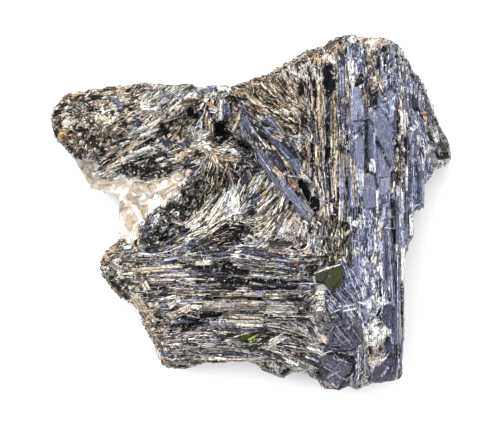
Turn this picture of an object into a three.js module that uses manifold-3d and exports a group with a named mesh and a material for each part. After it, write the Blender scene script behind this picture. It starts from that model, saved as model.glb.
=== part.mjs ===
// A hand specimen of gedrite, an amphibole rock, lying on its back: one natural piece, 70 mm wide.
// Fused in it are the vertical blade bundle on the right, diagonal blades and a fan of needles in the
// middle, a weathered lobe at the upper left, a recessed quartz patch in the left bay, and an arm of
// level blades at the lower left. Millimetres, +Z up, +Y to the specimen's top, origin under its middle.
import * as THREE from "three";
import { mergeVertices } from "three/addons/utils/BufferGeometryUtils.js";
import Module from "manifold-3d";

const wasm = await Module();
wasm.setup();

// ---- Driving dimensions -------------------------------------------------------------------------
const WIDTH = 70; // overall, along X
const POINT_SPACING = 4.8; // between the relief's own points
const POINT_SHIFT = 0.8; // most that such a point is moved aside
const SLAB_MARGIN = 1.15; // the slab that the body is cut from, over the width
const ROUGHNESS = 0.55; // most that such a point of the face is moved up or down
const BACK_ROUGHNESS = 0.3; // the same on the back, off its resting facet
const FALL_WIDTH = [6.5, 1.8]; // how far in the face falls to the rim: rounded lobe, cleaved bundle
const BACK_RISE_WIDTH = 9; // how far in the back curves up to the rim
const BACK_WAVE = 1.6; // how unevenly it does
const RIM_TOP = [0.5, 0.78]; // the rim's upper edge over the face's height, likewise
const RIM_BOTTOM = [0.34, 0.22]; // the rim's lower edge over the face's height, likewise
const BLADE_DEPTH = 7; // how deep the cleaved blades reach under their upper faces
const BLADE_ROLL = 0.14; // most that an upper face tilts sideways, radians
const BLADE_OVERLAP = 1.16; // a blade's own width over its share of the face
const FLANK_STEP_OUT = 0.45; // most that a step stands out of the rim
const FLANK_STEPS = 22; // steps round the outline
const TRIM = 1.006; // trimmed outline over the outline
const CUT_ABOVE = 3; // how far over the face a hollow's cutter starts
const LARGE_GRAIN = 1.7; // radius from which a grain has twenty faces
const BACK_CLEARANCE = 0.4; // least height of the back's blades over the resting plane
const SEED = 7;

// Places on the face are read on a square grid laid over it: columns from the left, rows from the top.
const LEFT_COLUMN = 52;
const RIGHT_COLUMN = 451;
const MIDDLE_ROW = 213.25;
const SQUARE = WIDTH / (RIGHT_COLUMN - LEFT_COLUMN);
const MIDDLE_COLUMN = (LEFT_COLUMN + RIGHT_COLUMN) / 2;

function place(column, row) {
  return new THREE.Vector2((column - MIDDLE_COLUMN) * SQUARE, (MIDDLE_ROW - row) * SQUARE);
}

// The outline, clockwise from the tip of the left lobe: [column, row].
const OUTLINE = [
  [52, 119], [54, 109], [60, 101], [70, 94.5], [84, 91.5], [100, 90], [107, 87.5], [122, 88],
  [150, 84], [162, 86], [176, 86], [189, 84], [197, 89], [210, 87], [222, 86.5], [230, 89], [247, 83],
  [268, 76], [284, 66], [296, 60], [307, 52], [326, 49], [330, 43], [340, 38.5], [352, 36.5],
  [360, 39.5], [385, 40], [399, 48], [402, 56], [408, 64], [410, 71], [421, 83], [428, 100],
  [436, 121], [446, 141], [451, 156], [448, 162], [433, 168], [429, 176], [424, 185], [423, 207],
  [413, 211], [412, 236], [407, 243], [403, 262], [403, 330], [402, 346], [400.5, 350], [400.5, 378],
  [392, 381], [371, 382], [359, 387.5], [349, 384.5], [340, 390], [325, 388], [320, 380], [304, 370],
  [294, 370.5], [284, 377], [270, 372.5], [253, 361], [228, 361], [207, 361.5], [183, 368],
  [165, 366.5], [158, 355], [155, 343], [144, 325], [137, 309], [129, 301], [119, 296], [107, 281],
  [101, 272], [102, 259], [112, 249], [119, 243], [121, 225], [120, 203], [119, 194.5], [104, 191.5],
  [88, 183], [85, 175], [79, 168], [78, 161], [66, 148], [56, 137],
];

// Heights of the face over the resting plane: [column, row, millimetres].
const FACE_HEIGHTS = [
  // left lobe and upper edge
  [60, 115, 10], [64, 136, 10.5], [82, 108, 13], [92, 134, 14], [115, 124, 15], [86, 152, 12.4],
  [108, 158, 14], [90, 170, 9.6], [130, 98, 13.8], [150, 120, 15.8], [176, 96, 14], [205, 96, 13],
  [236, 98, 14.6],
  // hollow beside the fan
  [186, 116, 14.6], [218, 130, 12.8], [200, 142, 14.4], [165, 146, 15.4], [240, 142, 14.4],
  // quartz bay
  [98, 187, 6.4], [114, 184, 8.4], [132, 188, 10.6], [156, 190, 11.2], [140, 204, 10], [126, 224, 9.4],
  [178, 190, 13.4],
  // dark pods above and below it
  [130, 167, 15], [166, 164, 15.8], [148, 234, 14.2], [162, 218, 15.8], [190, 188, 16.8],
  [132, 248, 13],
  // middle
  [215, 162, 16.6], [248, 170, 17.2], [214, 212, 16.8], [246, 216, 17.6], [280, 212, 18.2],
  [310, 240, 18.6], [262, 244, 18.2], [206, 244, 17],
  // fan and vertical bundle
  [262, 92, 15.4], [284, 76, 15.6], [300, 66, 16.6], [282, 112, 17.6], [300, 160, 18.8], [322, 62, 18],
  [322, 130, 19.4], [345, 50, 17.4], [392, 58, 17.6], [360, 120, 20.6], [392, 130, 20.2],
  [340, 222, 19.4], [380, 220, 20.6], [372, 300, 19.6], [400, 300, 19], [345, 330, 19],
  [330, 378, 17.4], [384, 372, 18.4],
  // right flank, falling away from the bundle
  [410, 84, 16.6], [420, 108, 13.8], [430, 132, 11.5], [442, 150, 10.6], [424, 150, 14.6],
  [420, 192, 15.6],
  // level arm
  [106, 264, 10], [116, 286, 10.2], [134, 262, 11.8], [138, 296, 11.8], [168, 272, 14.4],
  [172, 312, 14], [150, 332, 12], [164, 358, 12.6], [206, 350, 15], [220, 280, 17.4], [280, 290, 18.2],
  [240, 318, 17.4], [280, 340, 17], [280, 368, 14.6], [310, 330, 17.6],
];

// Large blades: [first column, row, last column, row, width in squares, rise over the face in mm].
const BUNDLE_BLADES = [
  [303, 72, 307, 212, 9, 1.2], [311, 62, 313, 214, 9, 1.7], [319, 57, 319, 218, 9, 1.3],
  [330, 50, 328, 222, 14, 0.8], [341, 46, 338, 228, 9, 1.6], [349, 45, 347, 236, 9, 1.1],
  [358, 47, 357, 124, 13, 1.5], [357, 122, 357, 212, 15, 2.2], [369, 47, 368, 172, 10, 1.2],
  [369, 168, 368, 216, 12, 2.0], [383, 50, 384, 210, 21, 2.4], [396, 60, 397, 152, 12, 1.7],
  [398, 148, 398, 252, 10, 1.3], [408, 128, 409, 210, 11, 0.9], [407, 205, 408, 237, 10, 0.4],
  [419, 178, 419, 206, 9, 0.1], [352, 210, 353, 300, 13, 0.8], [365, 212, 365, 320, 13, 1.5],
  [377, 212, 376, 326, 12, 1.0], [388, 206, 387, 308, 12, 1.9], [397, 246, 397, 332, 11, 1.2],
  [396, 326, 396, 379, 9, 0.9], [388, 302, 390, 336, 11, 0.8], [362, 316, 361, 385, 11, 1.2],
  [372, 340, 372, 381, 10, 0.8], [383, 354, 384, 380, 17, 1.6], [336, 226, 334, 262, 11, 0.7],
  [324, 64, 324, 120, 6, 1.3],
];
const PLATE_BLADES = [
  [352, 318, 342, 352, 27, 1.6], [330, 351, 352, 368, 15, 1.2], [327, 368, 343, 386, 15, 1.4],
  [334, 298, 354, 264, 8, 0.9], [344, 304, 364, 280, 8, 1.0],
];
const ARM_BLADES = [
  [110, 257, 150, 255, 9, 0.6], [146, 256, 192, 252, 9, 1.1], [106, 267, 146, 265, 10, 1.0],
  [142, 265, 202, 262, 10, 0.7], [108, 278, 152, 276, 9, 0.7], [148, 276, 190, 276, 10, 1.2],
  [118, 289, 150, 288, 9, 1.1], [146, 287, 196, 287, 10, 0.8], [133, 300, 164, 299, 10, 0.7],
  [160, 298, 200, 299, 10, 1.2], [143, 311, 170, 310, 9, 1.1], [166, 310, 204, 310, 10, 0.8],
  [148, 322, 176, 321, 10, 0.7], [172, 320, 216, 320, 10, 1.2], [152, 333, 182, 332, 10, 1.1],
  [178, 332, 222, 331, 10, 0.7], [156, 345, 188, 343, 10, 0.8], [184, 343, 232, 341, 10, 1.2],
  [161, 357, 196, 355, 11, 1.2], [192, 355, 240, 353, 11, 0.8], [196, 250, 300, 261, 10, 1.0],
  [200, 260, 309, 271, 9, 1.7], [186, 272, 302, 280, 9, 1.1], [188, 284, 312, 286, 8, 1.8],
  [196, 294, 308, 294, 9, 1.2], [194, 306, 264, 307, 11, 2.0], [262, 311, 300, 312, 17, 2.2],
  [212, 322, 284, 322, 10, 1.7], [272, 327, 310, 327, 11, 1.1], [222, 343, 300, 343, 9, 1.5],
  [232, 352, 298, 353, 9, 1.1], [262, 344, 316, 374, 9, 1.4],
];
const DIAGONAL_BLADES = [
  [240, 116, 270, 160, 13, 2.4], [264, 154, 313, 217, 11, 2.7], [262, 117, 305, 176, 11, 1.8],
  [290, 150, 321, 200, 8, 1.3], [270, 164, 288, 186, 8, 1.0],
];
const FAN_NEEDLES = [
  [244, 94, 284, 124, 7, 1.1], [252, 87, 294, 118, 7, 1.6], [263, 83, 298, 110, 6, 1.1],
  [275, 77, 301, 101, 6, 1.6], [287, 69, 303, 93, 6, 1.0], [258, 108, 300, 130, 6, 1.5],
  [272, 127, 302, 140, 7, 1.0], [286, 134, 308, 156, 6, 1.0],
];
const MIDDLE_BLADES = [
  [196, 234, 216, 194, 9, 0.8], [207, 238, 228, 188, 9, 1.2], [218, 241, 240, 192, 10, 0.9],
  [228, 214, 252, 162, 10, 1.1], [240, 216, 262, 168, 9, 1.5], [252, 218, 272, 180, 9, 0.9],
  [250, 240, 274, 200, 10, 1.0], [264, 240, 290, 192, 9, 1.4], [280, 240, 302, 202, 9, 0.9],
  [176, 248, 226, 236, 9, 0.8], [158, 138, 174, 150, 8, 0.9], [176, 139, 194, 151, 7, 1.2],
  [219, 102, 221, 123, 6, 1.6], [176, 164, 208, 142, 8, 1.1], [194, 178, 226, 150, 8, 1.2],
  [206, 184, 228, 164, 8, 0.9], [220, 148, 242, 157, 7, 1.2],
];
const FLANK_BLADES = [
  [404, 72, 408, 126, 8, 0.7], [413, 84, 423, 126, 8, 0.6], [422, 112, 434, 150, 9, 0.5],
  [434, 128, 444, 152, 7, 0.2],
];
const LOBE_BLADES = [
  [100, 164, 152, 137, 7, 0.8], [99, 173, 160, 143, 7, 1.2], [108, 178, 168, 152, 6, 0.8],
  [124, 152, 186, 113, 9, 1.2], [140, 134, 202, 94, 9, 1.4], [156, 112, 192, 90, 9, 0.8],
  [180, 122, 222, 95, 8, 1.0], [214, 120, 232, 95, 9, 1.2], [108, 98, 124, 110, 7, 0.9],
];

// Blocky grains: [column, row, radius in squares, rise over the face in mm].
const FACE_GRAINS = [
  // dark grains round the quartz, and the quartz itself
  [149, 231, 11, 0.5], [160, 219, 11, 0.8], [177, 208, 12, 0.5], [193, 190, 12, 0.4],
  [128, 249, 9, 0.4], [136, 168, 11, 0.4], [154, 167, 11, 0.3], [170, 163, 10, 0.3],
  [146, 190, 16, 0.4], [168, 187, 14, 0.5], [127, 227, 9, 0.4],
  // olive grains and white quartz on the bundle
  [306, 234, 9, 0.6], [316, 250, 10, 0.5], [290, 252, 9, 0.5], [312, 322, 9, 0.5], [322, 341, 10, 0.7],
  [306, 346, 9, 0.5], [330, 276, 14, 1.4], [277, 364, 11, 0.4], [248, 336, 9, 1.0],
  [378, 334, 12, 1.6], [322, 298, 8, 1.0],
  // crust of the lobe and of the bundle's top
  [68, 108, 8, 0.2], [80, 128, 9, 0.4], [98, 110, 9, 0.3], [74, 144, 7, 0.3], [112, 134, 9, 0.4],
  [98, 148, 8, 0.3], [140, 98, 9, 0.2], [118, 112, 8, 0.3], [126, 128, 8, 0.3], [138, 300, 8, 0.3],
  [148, 342, 8, 0.4], [340, 48, 8, 0.8], [376, 48, 8, 0.9], [394, 54, 6, 0.8], [412, 92, 7, 0.3],
  [428, 148, 9, 0.4],
];

// Blades on the curved margin of the back, listed as on the face.
const BACK_BLADES = [
  [399, 70, 400, 200, 12, 1.2], [410, 110, 411, 196, 10, 1.0], [394, 214, 393, 330, 12, 1.3],
  [384, 268, 384, 372, 12, 1.1], [388, 62, 389, 150, 11, 0.9], [374, 330, 374, 382, 11, 1.0],
  [352, 350, 352, 386, 12, 1.1], [362, 44, 363, 86, 14, 1.0], [340, 46, 340, 92, 11, 1.2],
  [120, 264, 176, 266, 11, 1.0], [132, 284, 190, 286, 10, 1.2], [146, 306, 206, 304, 11, 1.0],
  [158, 330, 220, 330, 11, 1.2], [166, 350, 240, 348, 12, 1.0], [240, 352, 300, 356, 12, 1.1],
  [96, 108, 150, 102, 12, 0.9], [152, 96, 214, 98, 11, 1.0], [226, 98, 280, 84, 11, 1.1],
  [84, 150, 112, 172, 11, 0.9],
];

// Hollows cut in the face: [first column, row, last column, row, width in squares, depth in mm].
const FACE_HOLLOWS = [
  [300, 180, 311, 206, 8, 3.6], [236, 138, 250, 152, 7, 2.4], [214, 124, 230, 137, 12, 1.6],
  [186, 110, 196, 122, 8, 1.6], [366, 122, 366, 168, 2.4, 3.0], [392, 172, 392, 244, 2.6, 3.2],
  [183, 324, 204, 322, 6, 2.4], [212, 300, 290, 300, 3, 2.6], [305, 288, 310, 318, 6, 1.4],
  [329, 66, 328, 160, 3, 1.8], [330, 291, 341, 304, 3, 2.0],
];

// Ledges broken out of the flanks: [first column, row, last column, row, squares in, lowest, highest mm].
const FLANK_LEDGES = [
  [403, 268, 403, 324, 8, 5, 10], [402, 332, 401, 376, 7, 9, 13.5], [424, 182, 424, 206, 8, 6, 10.5],
  [412, 214, 412, 238, 6, 8.5, 13], [360, 388, 398, 380, 7, 5, 9.5], [268, 374, 300, 370, 7, 7, 10],
  [186, 368, 250, 360, 7, 5, 8.5], [268, 76, 304, 54, 8, 6, 10], [150, 84, 190, 84, 6, 5, 8],
  [350, 37, 396, 41, 7, 7.5, 12], [128, 300, 148, 332, 7, 4.5, 7.5], [434, 116, 446, 142, 7, 4, 7.5],
];

// ---- Helpers ------------------------------------------------------------------------------------
let randomState = SEED;
function random() {
  randomState = (randomState * 1664525 + 1013904223) % 4294967296;
  return randomState / 4294967296;
}
const spread = (size) => (random() - 0.5) * 2 * size;
const { lerp } = THREE.MathUtils;
const clamp01 = (value) => Math.min(1, Math.max(0, value));

// How far in from the outline a point lies, and 0 outside it.
function depthWithin(point) {
  let nearest = Infinity;
  let inside = false;
  outline.forEach((a, i) => {
    const b = outline[(i + 1) % outline.length];
    const side = b.clone().sub(a);
    const along = clamp01(point.clone().sub(a).dot(side) / side.lengthSq());
    nearest = Math.min(nearest, point.distanceTo(a.clone().addScaledVector(side, along)));
    const level = (point.y - a.y) / side.y;
    if (a.y > point.y !== b.y > point.y && point.x < a.x + side.x * level) inside = !inside;
  });
  return inside ? nearest : 0;
}

// A closed geometry as a solid for joining and cutting.
function solidOf(geometry) {
  geometry.deleteAttribute("normal");
  geometry.deleteAttribute("uv");
  const merged = mergeVertices(geometry, 1e-4);
  const triVerts = new Uint32Array(merged.index.array);
  const vertProperties = merged.getAttribute("position").array;
  return new wasm.Manifold(new wasm.Mesh({ numProp: 3, vertProperties, triVerts }));
}

// ---- Relief of the body -------------------------------------------------------------------------
const outline = OUTLINE.map(([column, row]) => place(column, row));
const spots = FACE_HEIGHTS.map(([column, row, height]) => ({ at: place(column, row), height }));

// Height of the face before it falls to the rim: near spots weigh most.
function faceHeight(point) {
  let total = 0;
  let weights = 0;
  for (const { at, height } of spots) {
    const weight = 1 / (at.distanceToSquared(point) + 0.6) ** 2;
    total += weight * height;
    weights += weight;
  }
  return total / weights;
}

// How sharply the specimen is cleaved there: 0 on the rounded left lobe, 1 on the right bundle.
const cleaved = (point) => clamp01((point.x + 0.3 * WIDTH) / (0.42 * WIDTH));

function bodyFace(point) {
  const sharp = cleaved(point);
  const rimHeight = faceHeight(point) * lerp(...RIM_TOP, sharp);
  const rise = 1 - (1 - clamp01(depthWithin(point) / lerp(...FALL_WIDTH, sharp))) ** 2;
  return rimHeight + (faceHeight(point) - rimHeight) * rise;
}

// The back lies on one broad flat facet and curves up unevenly to the rim.
function bodyBack(point) {
  const rimHeight = faceHeight(point) * lerp(...RIM_BOTTOM, cleaved(point));
  const wave = BACK_WAVE * Math.sin(point.x * 0.21 + 1.1) * Math.cos(point.y * 0.17 - 0.6);
  const rise = clamp01(1 - depthWithin(point) / (BACK_RISE_WIDTH + 2 * wave)) ** 1.5;
  return Math.max(0, rimHeight * (rise * 1.15 - 0.15) + Math.max(0, wave - 1) * 2);
}

// A slab of sheared rows, so that its faces are near equal triangles, with its points moved to the relief.
function bodyGeometry() {
  const rowStep = POINT_SPACING * Math.sin(Math.PI / 3);
  const rows = Math.ceil((SLAB_MARGIN * WIDTH) / rowStep);
  const columns = Math.ceil((SLAB_MARGIN * 1.5 * WIDTH) / POINT_SPACING);
  const slab = new THREE.BoxGeometry(columns * POINT_SPACING, rows * rowStep, 1, columns, rows, 1);
  const geometry = mergeVertices(slab.deleteAttribute("normal").deleteAttribute("uv"));
  const position = geometry.getAttribute("position");
  const point = new THREE.Vector2();
  for (let i = 0; i < position.count; i += 1) {
    const shear = (0.5 * POINT_SPACING * position.getY(i)) / rowStep;
    point.set(position.getX(i) + shear + spread(POINT_SHIFT), position.getY(i) + spread(POINT_SHIFT));
    const [face, back] = [bodyFace(point) + spread(ROUGHNESS), bodyBack(point)];
    const roughBack = back > 1 ? back + spread(BACK_ROUGHNESS) : back;
    position.setXYZ(i, point.x, point.y, position.getZ(i) > 0 ? face : roughBack);
  }
  return geometry;
}

// Everything straight up from the outline, scaled about the middle.
function outlinePrism(scale) {
  const geometry = new THREE.ExtrudeGeometry(new THREE.Shape(outline), { depth: WIDTH, bevelEnabled: false });
  return solidOf(geometry.scale(scale, scale, 1));
}

// ---- Crystals, grains and hollows ---------------------------------------------------------------
// A blade between two points of its flat upper face: narrower above than below, with slanting ends.
function bladeGeometry(from, to, width, thickness, { roll = 0, slant = 0.3, taper = 0.84 } = {}) {
  const along = to.clone().sub(from);
  const geometry = new THREE.BoxGeometry(width, along.length(), thickness);
  const position = geometry.getAttribute("position");
  for (let i = 0; i < position.count; i += 1) {
    const [x, y, z] = [position.getX(i), position.getY(i), position.getZ(i)];
    position.setY(i, y + slant * x - Math.sign(y) * (z > 0 ? 0.25 * width : 0));
    position.setX(i, z > 0 ? x * taper : x);
  }
  geometry.translate(0, 0, -thickness / 2);
  geometry.rotateY(roll);
  const sideways = new THREE.Vector3().crossVectors(along, new THREE.Vector3(0, 0, 1)).normalize();
  const up = new THREE.Vector3().crossVectors(sideways, along).normalize();
  const turned = new THREE.Matrix4().makeBasis(sideways, along.normalize(), up);
  return geometry.applyMatrix4(turned.setPosition(from.clone().add(to).multiplyScalar(0.5)));
}

// The point over a place on the face. Cleaved blades run level to the rim, the others bend down to it.
function onFace(column, row, lift) {
  const at = place(column, row);
  const height = lerp(bodyFace(at), faceHeight(at), cleaved(at));
  return new THREE.Vector3(at.x, at.y, height + lift);
}

function faceBlade([column0, row0, column1, row1, squares, rise]) {
  const width = squares * SQUARE;
  const [from, to] = [onFace(column0, row0, rise), onFace(column1, row1, rise)];
  const thickness = Math.max(3, BLADE_DEPTH * cleaved(place(column1, row1)));
  const shape = { roll: spread(BLADE_ROLL), slant: 0.3 + spread(0.3) };
  return solidOf(bladeGeometry(from, to, width * BLADE_OVERLAP, thickness, shape));
}

// A grain is a block of eight faces, or twenty if large, with its corners moved about.
function grainGeometry(radius) {
  const Block = radius < LARGE_GRAIN ? THREE.OctahedronGeometry : THREE.IcosahedronGeometry;
  const geometry = mergeVertices(new Block(radius, 0).deleteAttribute("normal").deleteAttribute("uv"));
  const position = geometry.getAttribute("position");
  for (let i = 0; i < position.count; i += 1) {
    const size = 1 + spread(0.16);
    position.setXYZ(i, position.getX(i) * size, position.getY(i) * size, position.getZ(i) * size * 0.8);
  }
  return geometry.rotateX(spread(0.5)).rotateZ(spread(1.5));
}

function faceGrain([column, row, squares, rise]) {
  const radius = squares * SQUARE;
  const at = onFace(column, row, rise - radius * 0.6);
  return solidOf(grainGeometry(radius).translate(at.x, at.y, at.z));
}

function faceHollow([column0, row0, column1, row1, squares, depth]) {
  const [from, to] = [onFace(column0, row0, CUT_ABOVE), onFace(column1, row1, CUT_ABOVE)];
  return solidOf(bladeGeometry(from, to, squares * SQUARE, depth + CUT_ABOVE, { slant: 0.5, taper: 1.4 }));
}

function flankLedge([column0, row0, column1, row1, squares, low, high]) {
  const [a, b] = [place(column0, row0), place(column1, row1)];
  const [from, to] = [new THREE.Vector3(a.x, a.y, high), new THREE.Vector3(b.x, b.y, high)];
  return solidOf(bladeGeometry(from, to, 2 * squares * SQUARE, high - low, { slant: 0.2, taper: 1.15 }));
}

// Steps round the flanks, each standing a little out of the rim's wall. Rounded stretches get grains.
function flankStep(a, b) {
  const outward = new THREE.Vector2(a.y - b.y, b.x - a.x).normalize();
  const sharp = cleaved(a);
  const top = faceHeight(a) * lerp(...RIM_TOP, sharp);
  const wall = top - faceHeight(a) * lerp(...RIM_BOTTOM, sharp);
  const width = 2.4 + 1.6 * random();
  const inset = 0.5 * width - FLANK_STEP_OUT * random();
  const [x, y] = [(a.x + b.x) / 2 - outward.x * inset, (a.y + b.y) / 2 - outward.y * inset];
  if (wall < 4) return solidOf(grainGeometry(width / 2).translate(x, y, top - wall * random()));
  const centre = new THREE.Vector3(x, y, top + 0.4 - wall * 0.3 * random());
  const half = new THREE.Vector3(b.x - a.x, b.y - a.y, spread(0.5)).multiplyScalar(0.6);
  const [from, to] = [centre.clone().sub(half), centre.clone().add(half)];
  return solidOf(bladeGeometry(from, to, width, wall * (0.3 + 0.4 * random()), { roll: spread(0.2) }));
}

// A blade on the back: its flat face looks down, clear of the resting facet's plane.
function backBlade([column0, row0, column1, row1, squares, rise]) {
  const [from, to] = [[column0, row0], [column1, row1]].map(([column, row]) => {
    const at = place(column, row);
    return new THREE.Vector3(at.x, at.y, Math.max(BACK_CLEARANCE, bodyBack(at) - rise));
  });
  const width = squares * SQUARE;
  return solidOf(bladeGeometry(from, to, width, 4, { roll: Math.PI + spread(0.05) }));
}

// ---- The specimen -------------------------------------------------------------------------------
function specimenGeometry() {
  const cleavages = [BUNDLE_BLADES, PLATE_BLADES, ARM_BLADES, DIAGONAL_BLADES, FLANK_BLADES];
  const blades = [...cleavages, FAN_NEEDLES, MIDDLE_BLADES, LOBE_BLADES];
  const rim = new THREE.Shape(outline).getSpacedPoints(FLANK_STEPS * 3);
  const steps = Array.from({ length: FLANK_STEPS }, (_, i) => flankStep(rim[3 * i], rim[3 * i + 1]));
  const face = [...blades.flat().map(faceBlade), ...FACE_GRAINS.map(faceGrain)];
  const added = [...face, ...steps, ...BACK_BLADES.map(backBlade)];
  const cuts = wasm.Manifold.union([...FACE_HOLLOWS.map(faceHollow), ...FLANK_LEDGES.map(flankLedge)]);
  const body = solidOf(bodyGeometry()).intersect(outlinePrism(1));
  const joined = wasm.Manifold.union([body, ...added]).subtract(cuts).intersect(outlinePrism(TRIM));
  const [whole] = joined.decompose().sort((a, b) => b.volume() - a.volume());
  const mesh = whole.getMesh();
  const geometry = new THREE.BufferGeometry();
  geometry.setAttribute("position", new THREE.BufferAttribute(mesh.vertProperties, mesh.numProp));
  geometry.setIndex(new THREE.BufferAttribute(new Uint32Array(mesh.triVerts), 1));
  geometry.computeBoundingBox();
  const { min, max } = geometry.boundingBox;
  geometry.translate(-(min.x + max.x) / 2, -(min.y + max.y) / 2, -min.z);
  geometry.computeVertexNormals();
  return geometry;
}

const rock = new THREE.MeshStandardMaterial({ color: 0x4d4c55, roughness: 0.55, metalness: 0 });
const specimen = new THREE.Mesh(specimenGeometry(), rock);
specimen.name = "gedrite_specimen";

const group = new THREE.Group();
group.add(specimen);
export default group;
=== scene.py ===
"""Looks of a gedrite hand specimen: a broken rock of slate blades, needles, grains and quartz.

The rock's solid comes packed from the CAD step. This file gives it its broken surface, strews the thousands
of blades and grains over it that follow the rock's own grain, lays the large blades, and sets the stage.
Metres throughout, +Z up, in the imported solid's own frame.
"""

import math
from collections import namedtuple
from functools import lru_cache

import bmesh
import bpy
import numpy as np
from bmesh.types import BMEdge, BMFace, BMVert
from mathutils import Matrix, Vector, noise
from mathutils.bvhtree import BVHTree


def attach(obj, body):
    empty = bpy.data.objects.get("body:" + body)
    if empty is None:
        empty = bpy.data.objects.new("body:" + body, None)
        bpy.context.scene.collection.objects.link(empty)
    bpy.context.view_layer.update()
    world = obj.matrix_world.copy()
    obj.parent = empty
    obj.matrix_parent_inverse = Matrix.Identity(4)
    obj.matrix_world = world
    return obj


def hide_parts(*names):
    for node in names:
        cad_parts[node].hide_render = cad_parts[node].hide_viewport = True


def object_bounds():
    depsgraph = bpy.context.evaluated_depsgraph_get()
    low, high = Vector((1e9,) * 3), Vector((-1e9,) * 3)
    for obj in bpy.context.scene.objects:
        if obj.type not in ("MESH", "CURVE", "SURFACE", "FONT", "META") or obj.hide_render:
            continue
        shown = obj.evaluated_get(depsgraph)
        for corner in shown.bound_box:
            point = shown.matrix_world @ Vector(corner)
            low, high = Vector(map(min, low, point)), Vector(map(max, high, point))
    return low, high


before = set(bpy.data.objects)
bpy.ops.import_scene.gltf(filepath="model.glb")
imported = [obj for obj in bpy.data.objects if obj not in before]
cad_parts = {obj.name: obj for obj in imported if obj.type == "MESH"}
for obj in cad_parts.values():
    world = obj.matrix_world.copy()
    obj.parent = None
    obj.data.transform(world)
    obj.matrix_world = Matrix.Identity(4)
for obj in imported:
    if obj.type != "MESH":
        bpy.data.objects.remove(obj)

bl_info = {
    "name": "Gedrite Specimen",
    "version": (1, 0, 0),
    "blender": (4, 5, 0),
    "location": "View3D > Sidebar > Gedrite",
    "description": "Dresses the specimen's solid with blades, needles, grains, quartz and a stage",
    "category": "Object",
}

NODE = "gedrite_specimen"
CAD_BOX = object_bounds()
MM = 0.001

# Places on the face are read on a square grid laid over it: columns from the left, rows from the top.
LEFT_COLUMN, RIGHT_COLUMN, MIDDLE_ROW = 52.0, 451.0, 213.25
MIDDLE_COLUMN = (LEFT_COLUMN + RIGHT_COLUMN) / 2
SQUARE = (CAD_BOX[1].x - CAD_BOX[0].x) / (RIGHT_COLUMN - LEFT_COLUMN)
FRAME_COLUMNS, FRAME_ROWS = 500, 430  # how much of that grid the camera sees
MAP_CELL, MAP_SPAN = 0.1 * MM, 760  # size and number of cells of the map of laid blades
STREAK_LENGTH = 0.1  # how much slower the fine streaks change along the grain than across it
STREAKS_PER_MM = 5.6
TURN_STEP = math.radians(15)  # patterns are drawn along twelve fixed ways and blended between them
PALEST = 0.88  # no tone of a blade is lighter than this
SEEN = 0.1  # how far up a face looks that counts as seen from above
ROOM_ON_BLADE, ROOM_IN_SLIT = 0.1, 0.02  # shares of the strewn pieces that stay there
LAID_LIFT = 0.3  # how far a laid blade stands up, in mm, where its line doesn't say
BODY_SEED, BLADE_SEED, PARTNER_SEED, QUARTZ_SEED = 3, 5, 2, 21
FIRST_STREWN_SEED, FIRST_STRAND_SEED = 11, 31  # each area adds its number
FLOOR_SIDE, SENSOR = 6, 36
KEY_SIZE, KEY_PLACE = 1.1, (-0.35, 0.35, 0.75)
FILL_SIZE, FILL_PLACE = 1.0, (0.55, -0.15, 0.6)
MIDDLE_HEIGHT = 10 * MM  # the level that the camera frames

# ---- Colours, as seen in plain daylight (sRGB, 0 to 255) ----
TONES = {
    # black and blue_black are partly the rock's own dark minerals and partly painted shade in the gaps and
    # slits between blades.
    "black": (9, 8, 8),
    "blue_black": (22, 22, 29),
    "deep": (44, 44, 56),
    "slate_dark": (69, 74, 95),
    "slate": (109, 115, 140),
    "slate_pale": (151, 156, 180),
    "blue": (70, 76, 100),
    "purple_grey": (80, 78, 94),
    "lilac": (156, 151, 162),
    "grey": (124, 119, 113),
    "grey_pale": (184, 179, 172),
    "white": (236, 232, 225),
    "milk": (238, 235, 228),
    # cool_white is partly the pale blades' own tone and partly painted glints and sheen on the blades' faces.
    "cool_white": (224, 225, 234),
    "green_white": (204, 206, 196),
    "cream": (214, 202, 185),
    "beige": (188, 171, 152),
    "pink_beige": (200, 184, 174),
    "tan": (160, 139, 116),
    "amber": (192, 152, 108),
    "rust": (124, 92, 70),
    "brown": (80, 67, 56),
    "brown_black": (30, 24, 21),
    "olive": (46, 50, 12),
    "moss": (66, 70, 22),
    "olive_black": (32, 33, 22),
    "yellow_green": (152, 156, 80),
}

# ---- How the rock breaks: sizes in mm, angles in degrees ----
Texture = namedtuple(
    "Texture", "length width flatness spread roll grains grain_size cover strands streak relief dirt planked")
# cover: share of the surface under blades; grains: share of them that are grains; strands: per square mm;
# streak: patches of one tone per mm across and along the grain; planked: whether its blades are flat-topped
TEXTURES = {
    "cleaved": Texture(
        (3.0, 9.0), (0.15, 0.7), 0.2, 0.8, 5, 0.12, (0.12, 0.28), 0.8, 0.7, (1.1, 0.08), 0.1, 0.7, True),
    "striped": Texture(
        (2.0, 7.0), (0.14, 0.46), 0.5, 1.6, 14, 0.06, (0.15, 0.3), 1.2, 3.2, (1.6, 0.13), 0.35, 1.0, True),
    "fibrous": Texture(
        (1.1, 3.4), (0.16, 0.42), 0.6, 7.0, 25, 0.06, (0.15, 0.35), 1.0, 4.8, (1.7, 0.3), 0.4, 1.0, False),
    "needled": Texture(
        (0.7, 2.2), (0.18, 0.46), 0.6, 16.0, 30, 0.22, (0.18, 0.45), 1.3, 3.0, (1.4, 0.5), 0.4, 1.0, False),
    "granular": Texture(
        (0.5, 1.4), (0.18, 0.5), 0.6, 24.0, 30, 0.45, (0.2, 0.6), 1.5, 1.4, (1.2, 0.6), 0.4, 1.0, False),
    "glassy": Texture(
        (0.8, 2.0), (0.4, 1.2), 0.3, 60.0, 22, 0.6, (0.3, 1.0), 0.25, 0.0, (0.4, 0.35), 0.3, 0.12, False),
}

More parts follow.
